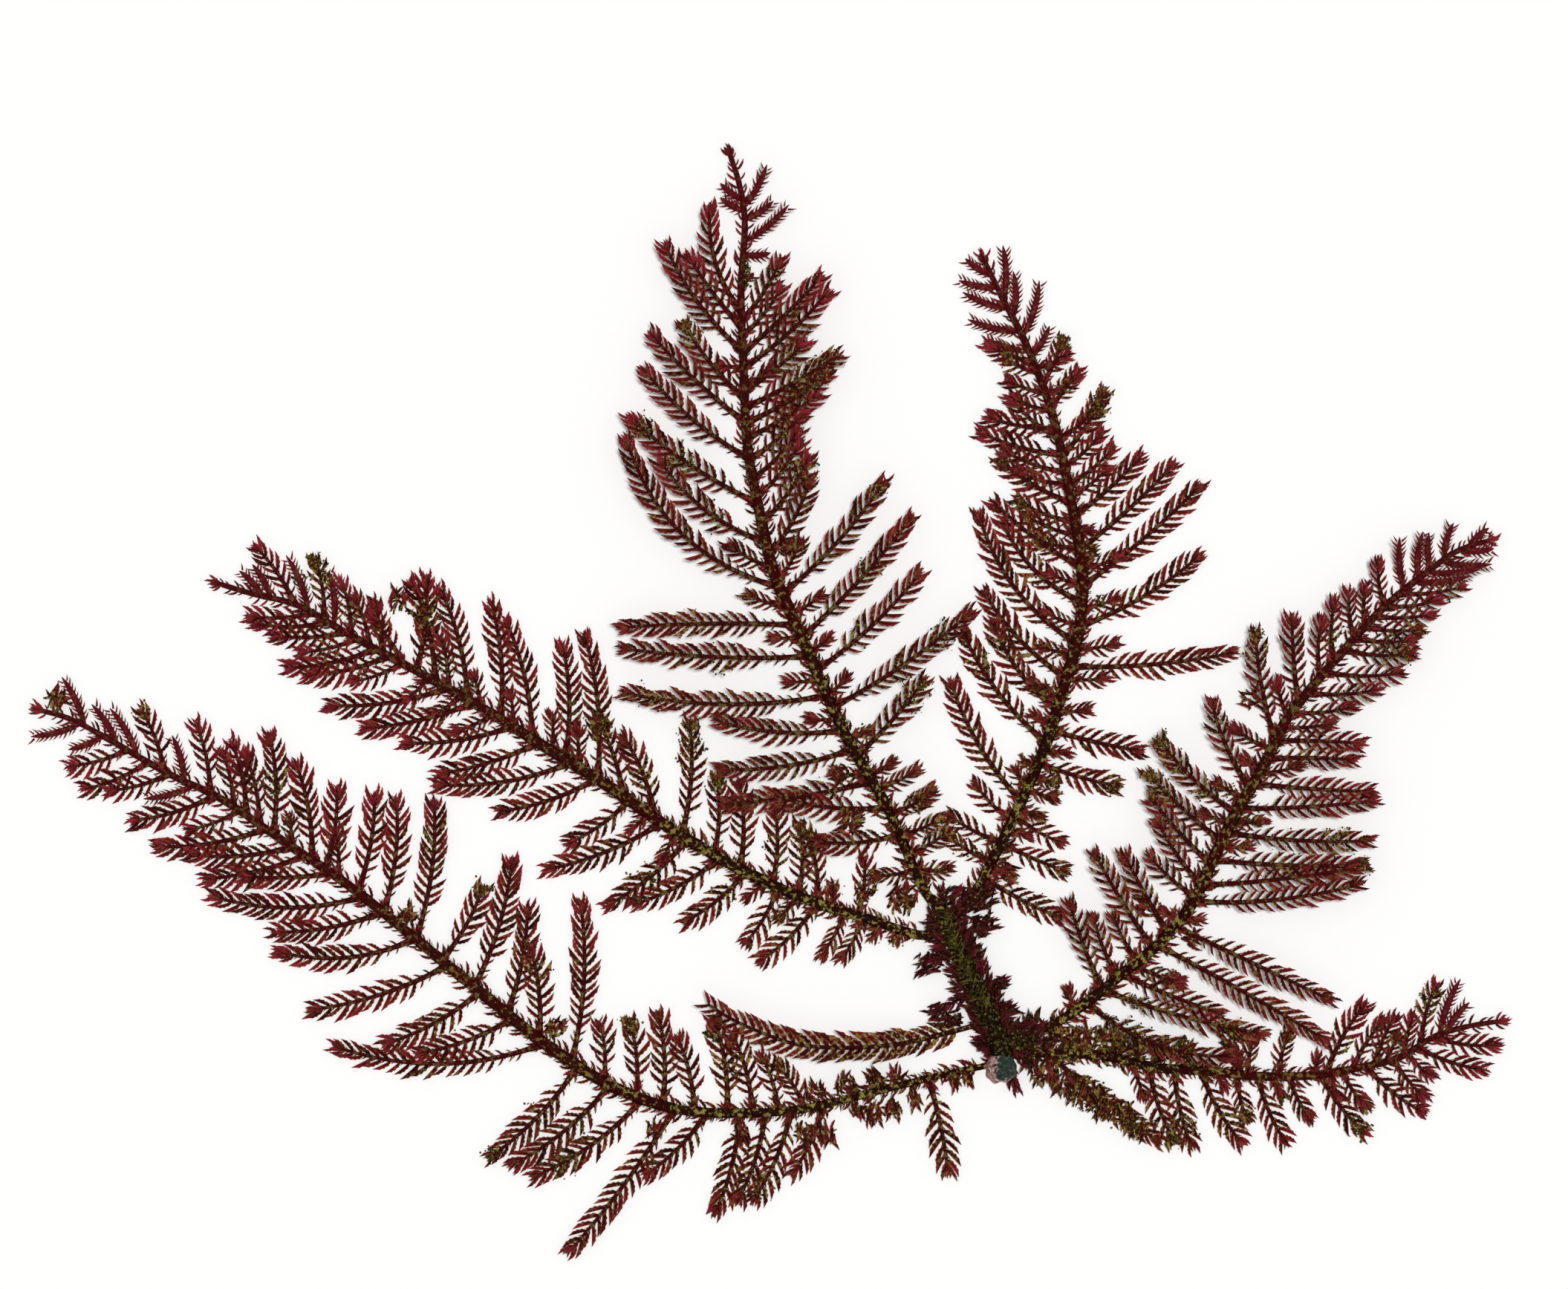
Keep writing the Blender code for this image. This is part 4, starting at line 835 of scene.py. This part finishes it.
@dataclass(frozen=True)
class OrganTemplates:
    """The small organs that every piece repeats, one millimetre long each.

    A leaflet is a sickle blade with a saw edge and a slightly raised middle; a spine is a
    plain thorn. Left ones bend clockwise, towards the tip of the rib that bears them.
    """

    leaflet_half_width: float = 0.104
    thickness: float = 0.07
    spine_half_width: float = 0.12
    filament_half_width: float = 0.05
    sickle: float = 0.34
    spine_bend: float = 0.15
    toothed: tuple[float, ...] = (0.60, 0.90, 1.36, 0.90, 1.44, 0.94, 1.26, 0.64, 0.34)
    smooth: tuple[float, ...] = (0.60, 0.76, 0.88, 0.94, 0.96, 0.92, 0.80, 0.60, 0.32)

    def blade(self, name: str, outer: list[float], inner: list[float],
              bend: float) -> bpy.types.Mesh:
        """Make one closed blade.

        Args:
            name: the mesh's name.
            outer: its half width on the outside of its bend, at even steps from foot to tip.
            inner: the same on the inside of its bend.
            bend: how far its tip is carried sideways; negative is clockwise.

        Returns:
            The blade, with its attributes along and rim.
        """
        corners, faces, along, rim = [], [], [], []
        steps = len(outer)
        left, right = (outer, inner) if bend < 0 else (inner, outer)
        for i in range(steps):
            t = i / steps
            y = bend * t * t
            lean = math.atan(2 * bend * t)
            side, ahead = math.cos(lean), -math.sin(lean)
            corners += [(t + ahead * left[i], y + side * left[i], 0.0),
                        (t, y, self.thickness * (1 - 0.6 * t)),
                        (t - ahead * right[i], y - side * right[i], 0.0)]
            along += [t, t, t]
            rim += [1.0, 0.0, 1.0]
        tip, a = 3 * steps, 3 * (steps - 1)
        corners.append((1.0, bend, 0.0))
        for k in range(0, a, 3):
            faces += [(k, k + 1, k + 4, k + 3), (k + 1, k + 2, k + 5, k + 4),
                      (k, k + 3, k + 5, k + 2)]
        faces += [(a, a + 1, tip), (a + 1, a + 2, tip), (a, tip, a + 2), (0, 2, 1)]
        return make_mesh(name, corners, faces, {"along": along + [1.0], "rim": rim + [0.6]})

    def build(self) -> bpy.types.Collection:
        """Return the templates in a collection, in the order of Organ."""
        shelf = bpy.data.collections.new("organ_templates")
        outer = [self.leaflet_half_width * s for s in self.toothed]
        inner = [self.leaflet_half_width * s for s in self.smooth]
        thorn = [self.spine_half_width, self.spine_half_width * 0.75]
        thread = [self.filament_half_width * s for s in (1.0, 1.0, 0.9, 0.7)]
        for organ, far, near, bend in (
                (Organ.LEFT_LEAFLET, outer, inner, -self.sickle),
                (Organ.RIGHT_LEAFLET, outer, inner, self.sickle),
                (Organ.LEFT_SPINE, thorn, thorn, -self.spine_bend),
                (Organ.RIGHT_SPINE, thorn, thorn, self.spine_bend),
                (Organ.FILAMENT, thread, thread, 0.35)):
            name = f"organ_{organ.value}_{organ.name.lower()}"
            show(name, self.blade(name, far, near, bend), shelf)
        name = f"organ_{Organ.BEAD.value}_bead"
        show(name, self.bead(name), shelf)
        return shelf

    def bead(self, name: str) -> bpy.types.Mesh:
        """Return an epiphyte bead, one millimetre across."""
        corners = [(0, 0, 0.5), (0, 0, -0.5), (0.5, 0, 0), (0, 0.5, 0), (-0.5, 0, 0), (0, -0.5, 0)]
        waist = ((2, 3), (3, 4), (4, 5), (5, 2))
        none = [0.0] * len(corners)
        return make_mesh(name, corners, [(pole, a, b) for pole in (0, 1) for a, b in waist],
                         {"along": none, "rim": none})


class FoliageTree(Nodes):
    """The node tree that sets an organ on every point and joins them to the strands."""

    def __init__(self, shelf: bpy.types.Collection) -> None:
        """Build the tree for a shelf of organ templates."""
        super().__init__(bpy.data.node_groups.new("feathery_foliage", "GeometryNodeTree"))
        self.shelf = shelf
        self.sockets = {}
        for name, kind in (("Geometry", "Geometry"), ("Strands", "Object"),
                           ("Organs", "Collection"), ("Finish", "Material")):
            self.sockets[name] = self.tree.interface.new_socket(
                name, in_out="INPUT", socket_type="NodeSocket" + kind).identifier
        self.tree.interface.new_socket("Geometry", in_out="OUTPUT",
                                       socket_type="NodeSocketGeometry")
        given = self.add("NodeGroupInput").outputs
        organs = self.add("GeometryNodeCollectionInfo", {
            "Collection": given["Organs"], "Separate Children": True,
            "Reset Children": True}, transform_space="ORIGINAL").outputs["Instances"]
        turn = self.add("FunctionNodeEulerToRotation",
                        {0: self.named("FLOAT_VECTOR", "turn")}).outputs[0]
        set_out = self.add("GeometryNodeInstanceOnPoints", {
            "Points": given["Geometry"], "Instance": organs, "Pick Instance": True,
            "Instance Index": self.named("INT", "kind"), "Rotation": turn,
            "Scale": self.named("FLOAT", "size")}).outputs["Instances"]
        strands = self.add("GeometryNodeObjectInfo", {"Object": given["Strands"]},
                           transform_space="ORIGINAL").outputs["Geometry"]
        whole = self.add("GeometryNodeJoinGeometry", {0: set_out})
        self.tree.links.new(strands, whole.inputs[0])
        solid = self.add("GeometryNodeRealizeInstances", {0: whole.outputs[0]}).outputs[0]
        dressed = self.add("GeometryNodeSetMaterial", {
            "Geometry": solid, "Material": given["Finish"]}).outputs[0]
        self.add("NodeGroupOutput", {0: dressed})

    def named(self, kind: str, name: str) -> Socket:
        """Return the socket of a named attribute."""
        node = self.add("GeometryNodeInputNamedAttribute", {"Name": name}, data_type=kind)
        return next(out for out in node.outputs if out.enabled and out.name == "Attribute")

    def grow(self, name: str, strands: Strands, foliage: Foliage, finish: Finish) -> Thing:
        """Make one piece from strands and foliage.

        Args:
            name: the piece's name.
            strands: its main stem and ribs.
            foliage: its organs.
            finish: its material.

        Returns:
            The piece, a plain mesh at the origin.
        """
        holder = foliage.points(name + "_points")
        ribs = strands.build(name + "_ribs")
        modifier = holder.modifiers.new("foliage", "NODES")
        modifier.node_group = self.tree
        for socket, value in (("Strands", ribs), ("Organs", self.shelf), ("Finish", finish)):
            modifier[self.sockets[socket]] = value
        graph = bpy.context.evaluated_depsgraph_get()
        mesh = bpy.data.meshes.new_from_object(holder.evaluated_get(graph))
        mesh.name = name
        places = np.empty(3 * len(mesh.vertices))
        mesh.vertices.foreach_get("co", places)
        places[2::3] = np.maximum(places[2::3], 0.0)
        mesh.vertices.foreach_set("co", places)
        for used in (holder, ribs):
            bpy.data.objects.remove(used)
        return show(name, mesh)


@dataclass
class Growth:
    """A part of the plant that is grown along a main stem's line."""

    node: str
    knots: list[Pair]
    ending: ClassVar[str] = "_blades"

    def __post_init__(self) -> None:
        """Draw the main stem's line, and start its strands, foliage and seeded chance."""
        self.spine = Route.through(self.knots)
        self.rng = random.Random(f"{SEED}-{self.node}")
        self.strands, self.foliage = Strands(), Foliage(self.rng)

    def grow(self) -> None:
        """Lay the strands and set the foliage."""
        raise NotImplementedError

    def build(self, tree: FoliageTree, finish: Finish) -> Thing:
        """Make the piece.

        Args:
            tree: the node tree that sets out the organs.
            finish: the piece's material.

        Returns:
            The piece.
        """
        self.grow()
        return tree.grow(self.node + self.ending, self.strands, self.foliage, finish)


@dataclass
class Frond(Growth):
    """One long frond: a main stem, its side branches, and the leaflets on them."""

    branches: list[tuple[float, ...]]
    listing: Listing
    lifted: bool
    joint: Pair
    old_share: float = 0.25
    spine_half: Spot = (0.40, 0.50, 0.20)
    spine_step: float = 0.45
    rib_half: Pair = (0.23, 0.13)
    rib_step: float = 0.7
    rib_height: float = 0.28
    usual_bend: float = 0.10
    leaflet_pitch: float = 0.71
    leaflet_aside: float = 0.10
    crowded_under: float = 4.2
    crowded_pitch: float = 0.72
    longest_leaflet: float = 1.52
    lean_degrees: float = 58.0
    tooth_pitch: float = 0.36
    fringe_pitch: float = 0.62
    fuzz_pitch: float = 0.13
    tuft_back: float = 0.35
    undivided_from: float = 0.83
    undivided_under: float = 4.8
    saw_blade_half: float = 0.29
    saw_blade_height: float = 0.24
    tooth_height: float = 0.22
    tuft_height: float = 0.35
    crust_density: int = 85

    def half_width(self, share: float) -> float:
        """Return half the main stem's width at a share of its length."""
        root, middle, tip = self.spine_half
        if share < 0.4:
            return root + (middle - root) * share / 0.4
        return middle + (tip - middle) * ((share - 0.4) / 0.6) ** 1.2

    def lift(self, point: Pair) -> float:
        """Return how far the frond rises at a point on the fan."""
        return eased_lift(self.spine.nearest(point)[1], LIFT_START, LIFT_RUN) * self.lifted

    def leaflet_length(self, share: float, length: float) -> float:
        """Return a leaflet's length at a share of a side branch of a given length."""
        swell = math.sin(math.pi * min(1.0, 0.10 + 0.66 * share)) ** 1.1
        return self.longest_leaflet * (0.20 + 0.80 * swell) * min(1.0, 0.38 + 0.095 * length)

    def grow(self) -> None:
        """Lay the main stem and every side branch, then what crowds and crusts them."""
        spine = self.spine
        self.lay_spine()
        for spring, tip_x, tip_y, *given in self.branches:
            nearest = int(np.argmin(np.abs(spine.points[:, self.listing.value] - spring)))
            station = min(spine.lengths[nearest], spine.length - 0.4)
            root, heading = spine.at(station)
            tip = np.array([tip_x, tip_y])
            across = np.array([root[1] - tip[1], tip[0] - root[0]])
            if across[0] * math.cos(heading) + across[1] * math.sin(heading) > 0:
                across = -across
            rib = Route.bowed(root, tip, (given[0] if given else self.usual_bend) * across)
            age = station / spine.length
            if age > self.undivided_from and rib.length < self.undivided_under:
                self.saw_blade(rib)
                continue
            self.lay_rib(rib, age)
            self.dress_rib(rib, age)
            self.tuft(*rib.at(0.6), 6, 0.95 - 0.35 * age, 0.55 + 0.4 * age, self.tuft_height)
        self.fringe_spine()
        for x, y, reach in THICKETS[self.node]:
            self.foliage.add_thicket(x, y, reach, spine.nearest((x, y))[0], self.tuft_height)
        for x, y, reach in CRUST_PATCHES[self.node]:
            self.foliage.add_crust(x, y, reach, int(self.crust_density * reach ** 1.5))

    def lay_spine(self) -> None:
        """Lay the main stem, from its joint with the old stem to its tip."""
        rings = []
        whole = Route.through([self.joint] + self.knots)
        extra = whole.length - self.spine.length
        for station in np.arange(0.0, whole.length, self.spine_step):
            share = max(0.0, (station - extra) / self.spine.length)
            radius = self.half_width(share) * self.rng.uniform(0.93, 1.08)
            rings.append([*whole.at(station)[0], radius * 0.8, radius,
                          0.10 + 0.9 * max(0.0, share - self.old_share) ** 0.8])
        self.strands.add(rings, 8)

    def lay_rib(self, rib: Route, age: float) -> None:
        """Lay the rib of one side branch, flared at its foot and pointed at its tip."""
        rings = []
        for station in np.linspace(0.0, rib.length, max(4, int(rib.length / self.rib_step))):
            share = station / rib.length
            point, _ = rib.at(station)
            flare = 1.0 + 0.8 * math.exp(-max(0.0, station - 0.35) / 0.4)
            slim = self.rib_half[0] + (self.rib_half[1] - self.rib_half[0]) * share
            rings.append([*point, self.rib_height + self.lift(point),
                          slim * flare * min(1.0, 0.55 + 0.06 * rib.length),
                          0.34 + 0.25 * age + 0.15 * share])
        rings[-1][3] *= 0.4
        self.strands.add(rings, 5, along=0.33)

    def dress_rib(self, rib: Route, age: float) -> None:
        """Set leaflets, spines and the tip's tuft along one side branch.

        Args:
            rib: the side branch's line.
            age: 0 where it springs near the frond's root, 1 near its tip.
        """
        rng, length = self.rng, rib.length
        tint = 0.30 + 0.40 * age
        young = min(max((age - 0.6) / 0.3, 0.0), 1.0)
        height = 0.22 + 0.10 * rng.random()
        dense = self.crowded_pitch if length < self.crowded_under else 1.0
        for side in SIDES:
            pitch = self.leaflet_pitch * dense * (0.92 + 0.16 * rng.random())
            station = 0.10 * length + 0.25 + 0.2 * rng.random()
            while station < length - 0.12:
                share = station / length
                foot, heading = rib.at(station, self.leaflet_aside * side)
                lean = math.radians(self.lean_degrees * (1.12 - 0.50 * share ** 2)
                                    + rng.uniform(-9, 9))
                size = self.leaflet_length(share, length) * rng.uniform(0.82, 1.14)
                if share < 0.22:
                    size = min(size, rng.uniform(0.35, 0.75))
                self.foliage.add(
                    Organ.leaflet(side), foot,
                    height + self.lift(foot) + rng.uniform(-0.05, 0.08),
                    (rng.uniform(-0.30, 0.30), rng.uniform(-0.10, 0.05), heading + side * lean),
                    min(size, 0.85 + 0.8 * (length - station)),
                    tint + 0.30 * share ** 2 + rng.uniform(-0.10, 0.10), rng.random())
                foot, heading = rib.at(min(station + 0.5 * pitch, length - 0.05))
                self.foliage.sprout(RIB_SPINE, Organ.spine(side), foot, heading, side,
                                    height + self.lift(foot), tint=tint + 0.1)
                station += pitch
        self.tuft(*rib.at(length - self.tuft_back), 12 - int(3 * young), 0.82,
                  min(1.0, tint + 0.34), height)
        if rng.random() < 0.50 - 0.35 * age:
            heart, _ = rib.at(length * rng.uniform(0.3, 0.95))
            self.foliage.add_crust(*heart, rng.uniform(0.5, 1.1), rng.randint(10, 30))

    def saw_blade(self, blade: Route) -> None:
        """Lay one undivided young branch, a flat crimson blade with saw edges."""
        rings = []
        for i, share in enumerate(np.linspace(0.0, 1.0, 7)):
            point, _ = blade.at(share * blade.length)
            swell = 0.55 + 0.45 * math.sin(math.pi * share ** 0.8)
            rings.append([*point, self.saw_blade_height + self.lift(point),
                          self.saw_blade_half * swell, 0.60 + 0.04 * i])
        rings[-1][3] = 0.03
        self.strands.add(rings, 6, 0.35, 0.6)
        for side in SIDES:
            station = 0.12 * blade.length
            while station < blade.length - 0.15:
                foot, heading = blade.at(station, 0.6 * self.saw_blade_half * side)
                self.foliage.sprout(SAW_TOOTH, Organ.spine(side), foot, heading, side,
                                    self.tooth_height + self.lift(foot))
                station += self.tooth_pitch

    def tuft(self, point: np.ndarray, heading: float, count: int, size: float, tint: float,
             height: float) -> None:
        """Set a tuft of young incurved leaflets.

        Args:
            point: the tuft's foot.
            heading: the way it points.
            count: how many leaflets it has.
            size: their usual length in millimetres.
            tint: their tint.
            height: the foot's height over the paper.
        """
        ahead = np.array([math.cos(heading), math.sin(heading)])
        for i in range(count):
            spread = (i / (count - 1) - 0.5) * 2.0
            foot = point - self.rng.uniform(0.0, 0.75) * ahead
            self.foliage.sprout(TUFT_LEAFLET, Organ.leaflet(spread), foot, heading, spread,
                                height + self.lift(point), size, tint)

    def fringe_spine(self) -> None:
        """Set the short leaflets, beads and fuzz along the main stem, and its tip's tuft."""
        rng, length = self.rng, self.spine.length
        station = 0.4
        while station < length:
            share = station / length
            for side in SIDES:
                foot, heading = self.spine.at(station + rng.uniform(-0.2, 0.2),
                                              self.half_width(share) * 0.8 * side)
                self.foliage.sprout(FRINGE_LEAFLET, Organ.leaflet(side), foot, heading, side,
                                    scale=1.0 - 0.25 * share, tint=0.35 + 0.5 * share)
            station += self.fringe_pitch
            if rng.random() < 0.9 - share:
                point, _ = self.spine.at(station)
                for _ in range(3):
                    foot = (point[0] + rng.gauss(0.0, 0.2), point[1] + rng.gauss(0.0, 0.2))
                    self.foliage.sprout(FROND_BEAD, Organ.BEAD, foot,
                                        rise=1.5 * self.half_width(share))
        for station in np.arange(0.2, length, self.fuzz_pitch):
            share, side = station / length, rng.choice(SIDES)
            foot, heading = self.spine.at(station, self.half_width(share) * 0.85 * side)
            self.foliage.sprout(FRINGE_FUZZ, Organ.spine(side), foot, heading, side,
                                scale=1.15 - share, tint=0.3 + 0.4 * share)
        self.tuft(*self.spine.at(length), 9, 0.8, 0.95, 0.3)


@dataclass
class SideBranch(Growth):
    """The short branch whose leaflets stand straight on its own main stem."""

    half: Pair = (0.24, 0.13)
    height: float = 0.26
    leaflet_pitch: float = 0.66
    leaflet_length: float = 1.9
    bare: float = 2.6

    def grow(self) -> None:
        """Lay the main stem and set its leaflets."""
        rings, length = [], self.spine.length
        for station in np.arange(0.0, length, 0.5):
            share = station / length
            point, _ = self.spine.at(station)
            rings.append([*point, self.height + self.lift(point),
                          self.half[0] + (self.half[1] - self.half[0]) * share,
                          0.2 + 0.3 * share])
        self.strands.add(rings, 6)
        for side in SIDES:
            station = self.bare
            while station < length - 0.2:
                share = station / length
                foot, heading = self.spine.at(station)
                size = self.leaflet_length * math.sin(math.pi * (0.22 + 0.62 * share)) ** 0.7
                self.foliage.sprout(SIDE_BRANCH_LEAFLET, Organ.leaflet(side), foot, heading,
                                    side, self.height + self.lift(foot), size,
                                    0.12 + 0.5 * share ** 2)
                station += self.leaflet_pitch

    def lift(self, point: Pair) -> float:
        """Return how far the branch rises at a point on the fan."""
        return eased_lift(math.dist(point, SIDE_BRANCH_ROUTE[0]), 0.0, BRANCH_RISE_RUN)


@dataclass
class OldStem(Growth):
    """The thick crusted stem from the holdfast to its fork, with its crown lobe and fuzz."""

    half: float = 0.82
    crown_half: float = 0.656
    step: float = 0.3
    roundness: float = 0.85
    thicket_height: float = 0.6
    bead_height: float = 1.35
    fuzz: int = 480
    tuft_leaflets: int = 18
    beads: tuple[int, int] = (300, 90)
    creeper_start: float = 0.32
    creeper_pitch: float = 0.085
    ending: ClassVar[str] = "_and_tufts"

    def grow(self) -> None:
        """Lay the stem and its crown lobe, then their fuzz, tufts, thickets and epiphytes."""
        routes = [self.spine, Route.through(CROWN_ROUTE)]
        for route, half in zip(routes, (self.half, self.crown_half)):
            self.lay_stem(route, half)
        self.set_fuzz(routes)
        for tip in STEM_TUFTS:
            self.set_tuft(self.bearer(routes, tip), np.array(tip))
        for x, y, reach in THICKETS[self.node]:
            self.foliage.add_thicket(x, y, reach, self.bearer(routes, (x, y)),
                                     self.thicket_height)
        self.creep()
        for route, count in zip(routes, self.beads):
            self.scatter_beads(route, count)

    @staticmethod
    def bearer(routes: list[Route], point: Pair) -> np.ndarray:
        """Return the point of the stem or of its crown that is nearest to a point."""
        return min((route.nearest(point) for route in routes), key=lambda found: found[1])[0]

    def lay_stem(self, route: Route, half: float) -> None:
        """Lay one thick, uneven strand with a half width at its foot."""
        rings = []
        for station in np.arange(0.0, route.length, self.step):
            knots = 1.0 + 0.10 * math.sin(station * 2.3) + self.rng.uniform(-0.08, 0.08)
            radius = half * (1 - 0.25 * station / route.length) * knots
            rings.append([*route.at(station)[0], radius * self.roundness, radius,
                          self.rng.uniform(0.0, 0.12)])
        self.strands.add(rings, 14, self.roundness)

    def set_fuzz(self, routes: list[Route]) -> None:
        """Set short leaflets all over the stem, and a few over its crown."""
        rng = self.rng
        for _ in range(self.fuzz):
            route = rng.choices(routes, weights=[4, 1])[0]
            station, side = rng.uniform(0.0, route.length), rng.choice(SIDES)
            foot, heading = route.at(station, side * rng.uniform(0.35, 0.95))
            self.foliage.sprout(STEM_FUZZ, Organ.leaflet(side), foot, heading, side)

    def set_tuft(self, foot: np.ndarray, tip: np.ndarray) -> None:
        """Set one young shoot from its foot on the stem to its tip."""
        rib = Route.bowed(foot, tip, np.zeros(2))
        self.strands.add([[*rib.at(station)[0], 0.4, 0.16 - 0.02 * i, 0.25]
                          for i, station in enumerate(np.linspace(0.0, rib.length, 6))], 5)
        for i in range(self.tuft_leaflets):
            point, heading = rib.at(rib.length * (0.25 + 0.75 * i / self.tuft_leaflets))
            side = 1 if i % 2 else -1
            self.foliage.sprout(STEM_TUFT_LEAFLET, Organ.leaflet(side), point, heading, side)

    def creep(self) -> None:
        """Lay the olive threads of a creeping epiphyte along the stem's upper part."""
        station = self.creeper_start * self.spine.length
        while station < self.spine.length:
            point, heading = self.spine.at(station)
            self.foliage.sprout(CREEPING_THREAD, Organ.FILAMENT, point, heading,
                                self.rng.choice(SIDES))
            station += self.creeper_pitch

    def scatter_beads(self, route: Route, count: int) -> None:
        """Scatter epiphyte beads over the round of a strand."""
        rng = self.rng
        for _ in range(count):
            station, edge = rng.uniform(0.0, route.length), rng.uniform(-0.8, 0.8)
            self.foliage.sprout(STEM_BEAD, Organ.BEAD, route.at(station, edge)[0],
                                rise=self.bead_height * math.sqrt(max(0.05, 1.0 - edge ** 2)))


@dataclass
class Holdfast:
    """The low irregular disc that held the plant to its rock."""

    node: str = "holdfast"
    centre: Pair = (0.15, -0.05)
    radius: float = 1.25
    height: float = 1.5
    summit: float = 0.82
    shoulder: float = 0.80
    squareness: float = 0.05
    rings: int = 14
    spokes: int = 48

    def build(self, finish: Finish) -> Thing:
        """Make the holdfast's piece, a knobbly cushion with a flat closed foot."""
        rng = random.Random(f"{SEED}-{self.node}")
        waves = [(rng.randint(3, 9), rng.uniform(0, 6.28), rng.uniform(0.02, 0.05))
                 for _ in range(4)]
        corners = [(*self.centre, self.height * self.summit)]
        for i in range(1, self.rings + 1):
            share = i / self.rings
            for k in range(self.spokes):
                turn = 2 * math.pi * k / self.spokes
                edge = 1 + sum(a * math.sin(n * turn + p) for n, p, a in waves) * share
                edge += self.squareness * math.cos(4 * turn + math.pi) * share
                knob = sum(0.05 * math.sin(n * turn + n * share + p) for n, p, _ in waves)
                knob *= math.sin(7 * share * math.pi)
                swell = self.summit + 0.22 * math.exp(-((share - 0.72) / 0.16) ** 2)
                drop = max(0.0, (share - self.shoulder) / (1.0 - self.shoulder)) ** 2
                reach = self.radius * share * edge
                corners.append((self.centre[0] + reach * math.cos(turn),
                                self.centre[1] + reach * math.sin(turn),
                                max(self.height * (swell + knob) * (1 - drop), 0.0)))
        last = len(corners) - self.spokes
        faces = [tuple(range(len(corners) - 1, last - 1, -1))]
        for k in range(self.spokes):
            after = (k + 1) % self.spokes
            faces.append((0, 1 + k, 1 + after))
            for ring in range(1, last, self.spokes):
                outer = ring + self.spokes
                faces.append((ring + k, outer + k, outer + after, ring + after))
        name = self.node + "_disc"
        mesh = make_mesh(name, corners, faces, {}, True)
        mesh.materials.append(finish)
        return show(name, mesh)


@dataclass
class Studio:
    """The white paper, the sun from the upper right, the even sky and the camera overhead."""

    paper_size: float = 2.0
    light_power: float = 2.12
    light_spread: float = 10.0
    light_offset: Spot = (0.055, 0.045, 0.60)
    sky: float = 0.36
    sky_colour: tuple[float, float, float, float] = (1.0, 0.996, 0.99, 1.0)

    def build(self) -> None:
        """Make the paper, light, sky and camera."""
        half = self.paper_size / 2
        mesh = bpy.data.meshes.new("paper")
        mesh.from_pydata([(-half, -half, 0), (half, -half, 0), (half, half, 0),
                          (-half, half, 0)], [], [(0, 1, 2, 3)])
        mesh.materials.append(MountingPaper().build())
        show("paper", mesh)
        self.light()
        self.camera()

    def light(self) -> None:
        """Set a wide sun towards the upper right, and an even white sky."""
        scene = bpy.context.scene
        lamp = bpy.data.lights.new("window", "SUN")
        lamp.energy = self.light_power
        lamp.angle = math.radians(self.light_spread)
        window = show("window", lamp)
        offset = Vector(self.light_offset)
        window.location = Vector((FIELD_CENTRE[0] * MM, FIELD_CENTRE[1] * MM, 0.0)) + offset
        window.rotation_euler = (-offset).to_track_quat("-Z", "Y").to_euler()
        scene.world = bpy.data.worlds.new("white_sky")
        scene.world.use_nodes = True
        sky = scene.world.node_tree.nodes["Background"]
        sky.inputs["Color"].default_value = self.sky_colour
        sky.inputs["Strength"].default_value = self.sky
        scene.view_settings.view_transform = "Standard"

    def camera(self) -> None:
        """Set the camera straight above the middle of the photograph's field."""
        lens = bpy.data.cameras.new("overhead")
        lens.lens, lens.sensor_width = CAMERA_LENS, CAMERA_SENSOR
        lens.clip_start = 0.01
        camera = show("overhead", lens)
        height = FIELD_WIDTH * MM * CAMERA_LENS / CAMERA_SENSOR
        camera.location = (FIELD_CENTRE[0] * MM, FIELD_CENTRE[1] * MM, height)
        bpy.context.scene.camera = camera


def attach(piece: Thing, node: str) -> None:
    """Tie a finished piece to the frame.

    Args:
        piece: the finished mesh object.
        node: the solid that it stands for.
    """
    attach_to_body(piece, "root")
    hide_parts(node)
    faces = sum(len(face.vertices) - 2 for face in piece.data.polygons)
    LOG.info("%s: %d triangles", piece.name, faces)


def main() -> None:
    """Build the whole pressed plant and its scene."""
    logging.basicConfig(level=logging.INFO, format="%(message)s")
    thallus = DriedThallus().build()
    old_thallus = DriedThallus(name="crusted_old_thallus", oldest="#1c0c08", old="#2c0c0a",
                               grown="#4a0e16", young="#741a30", speck="#55501e",
                               mottle="#4c4422", rim_colour_and_glow="#7e2c30", speck_size_mm=0.3,
                               roughness=0.8).build()
    shelf = OrganTemplates().build()
    tree = FoliageTree(shelf)
    by_x, by_y = Listing.BY_X, Listing.BY_Y
    blades = [
        Frond("far_left_frond", FAR_LEFT_SPINE, FAR_LEFT_BRANCHES, by_x, False, (0.0, 0.4),
              spine_half=(0.26, 0.50, 0.20), longest_leaflet=1.6),
        Frond("left_frond", LEFT_SPINE, LEFT_BRANCHES, by_x, False, (-4.0, 10.6)),
        Frond("central_frond", CENTRAL_SPINE, CENTRAL_BRANCHES, by_y, True, (-4.3, 11.9)),
        Frond("right_centre_frond", RIGHT_CENTRE_SPINE, RIGHT_CENTRE_BRANCHES, by_y, False,
              (-3.7, 11.3)),
        Frond("right_frond", RIGHT_SPINE, RIGHT_BRANCHES, by_y, True, (1.4, 1.9),
              longest_leaflet=1.38),
        Frond("lower_right_frond", LOWER_RIGHT_SPINE, LOWER_RIGHT_BRANCHES, by_x, False,
              (1.2, 1.4), spine_half=(0.40, 0.40, 0.18)),
        SideBranch("side_branch", [SIDE_BRANCH_JOINT] + SIDE_BRANCH_ROUTE)]
    for part in blades:
        attach(part.build(tree, thallus), part.node)
    stem = OldStem("stem", STEM_ROUTE)
    attach(stem.build(tree, old_thallus), stem.node)
    holdfast = Holdfast()
    attach(holdfast.build(HoldfastCrust().build()), holdfast.node)
    for organ in list(shelf.objects):
        bpy.data.objects.remove(organ)
    bpy.data.collections.remove(shelf)
    Studio().build()
    bpy.context.view_layer.update()


if __name__ == "__main__":
    main()
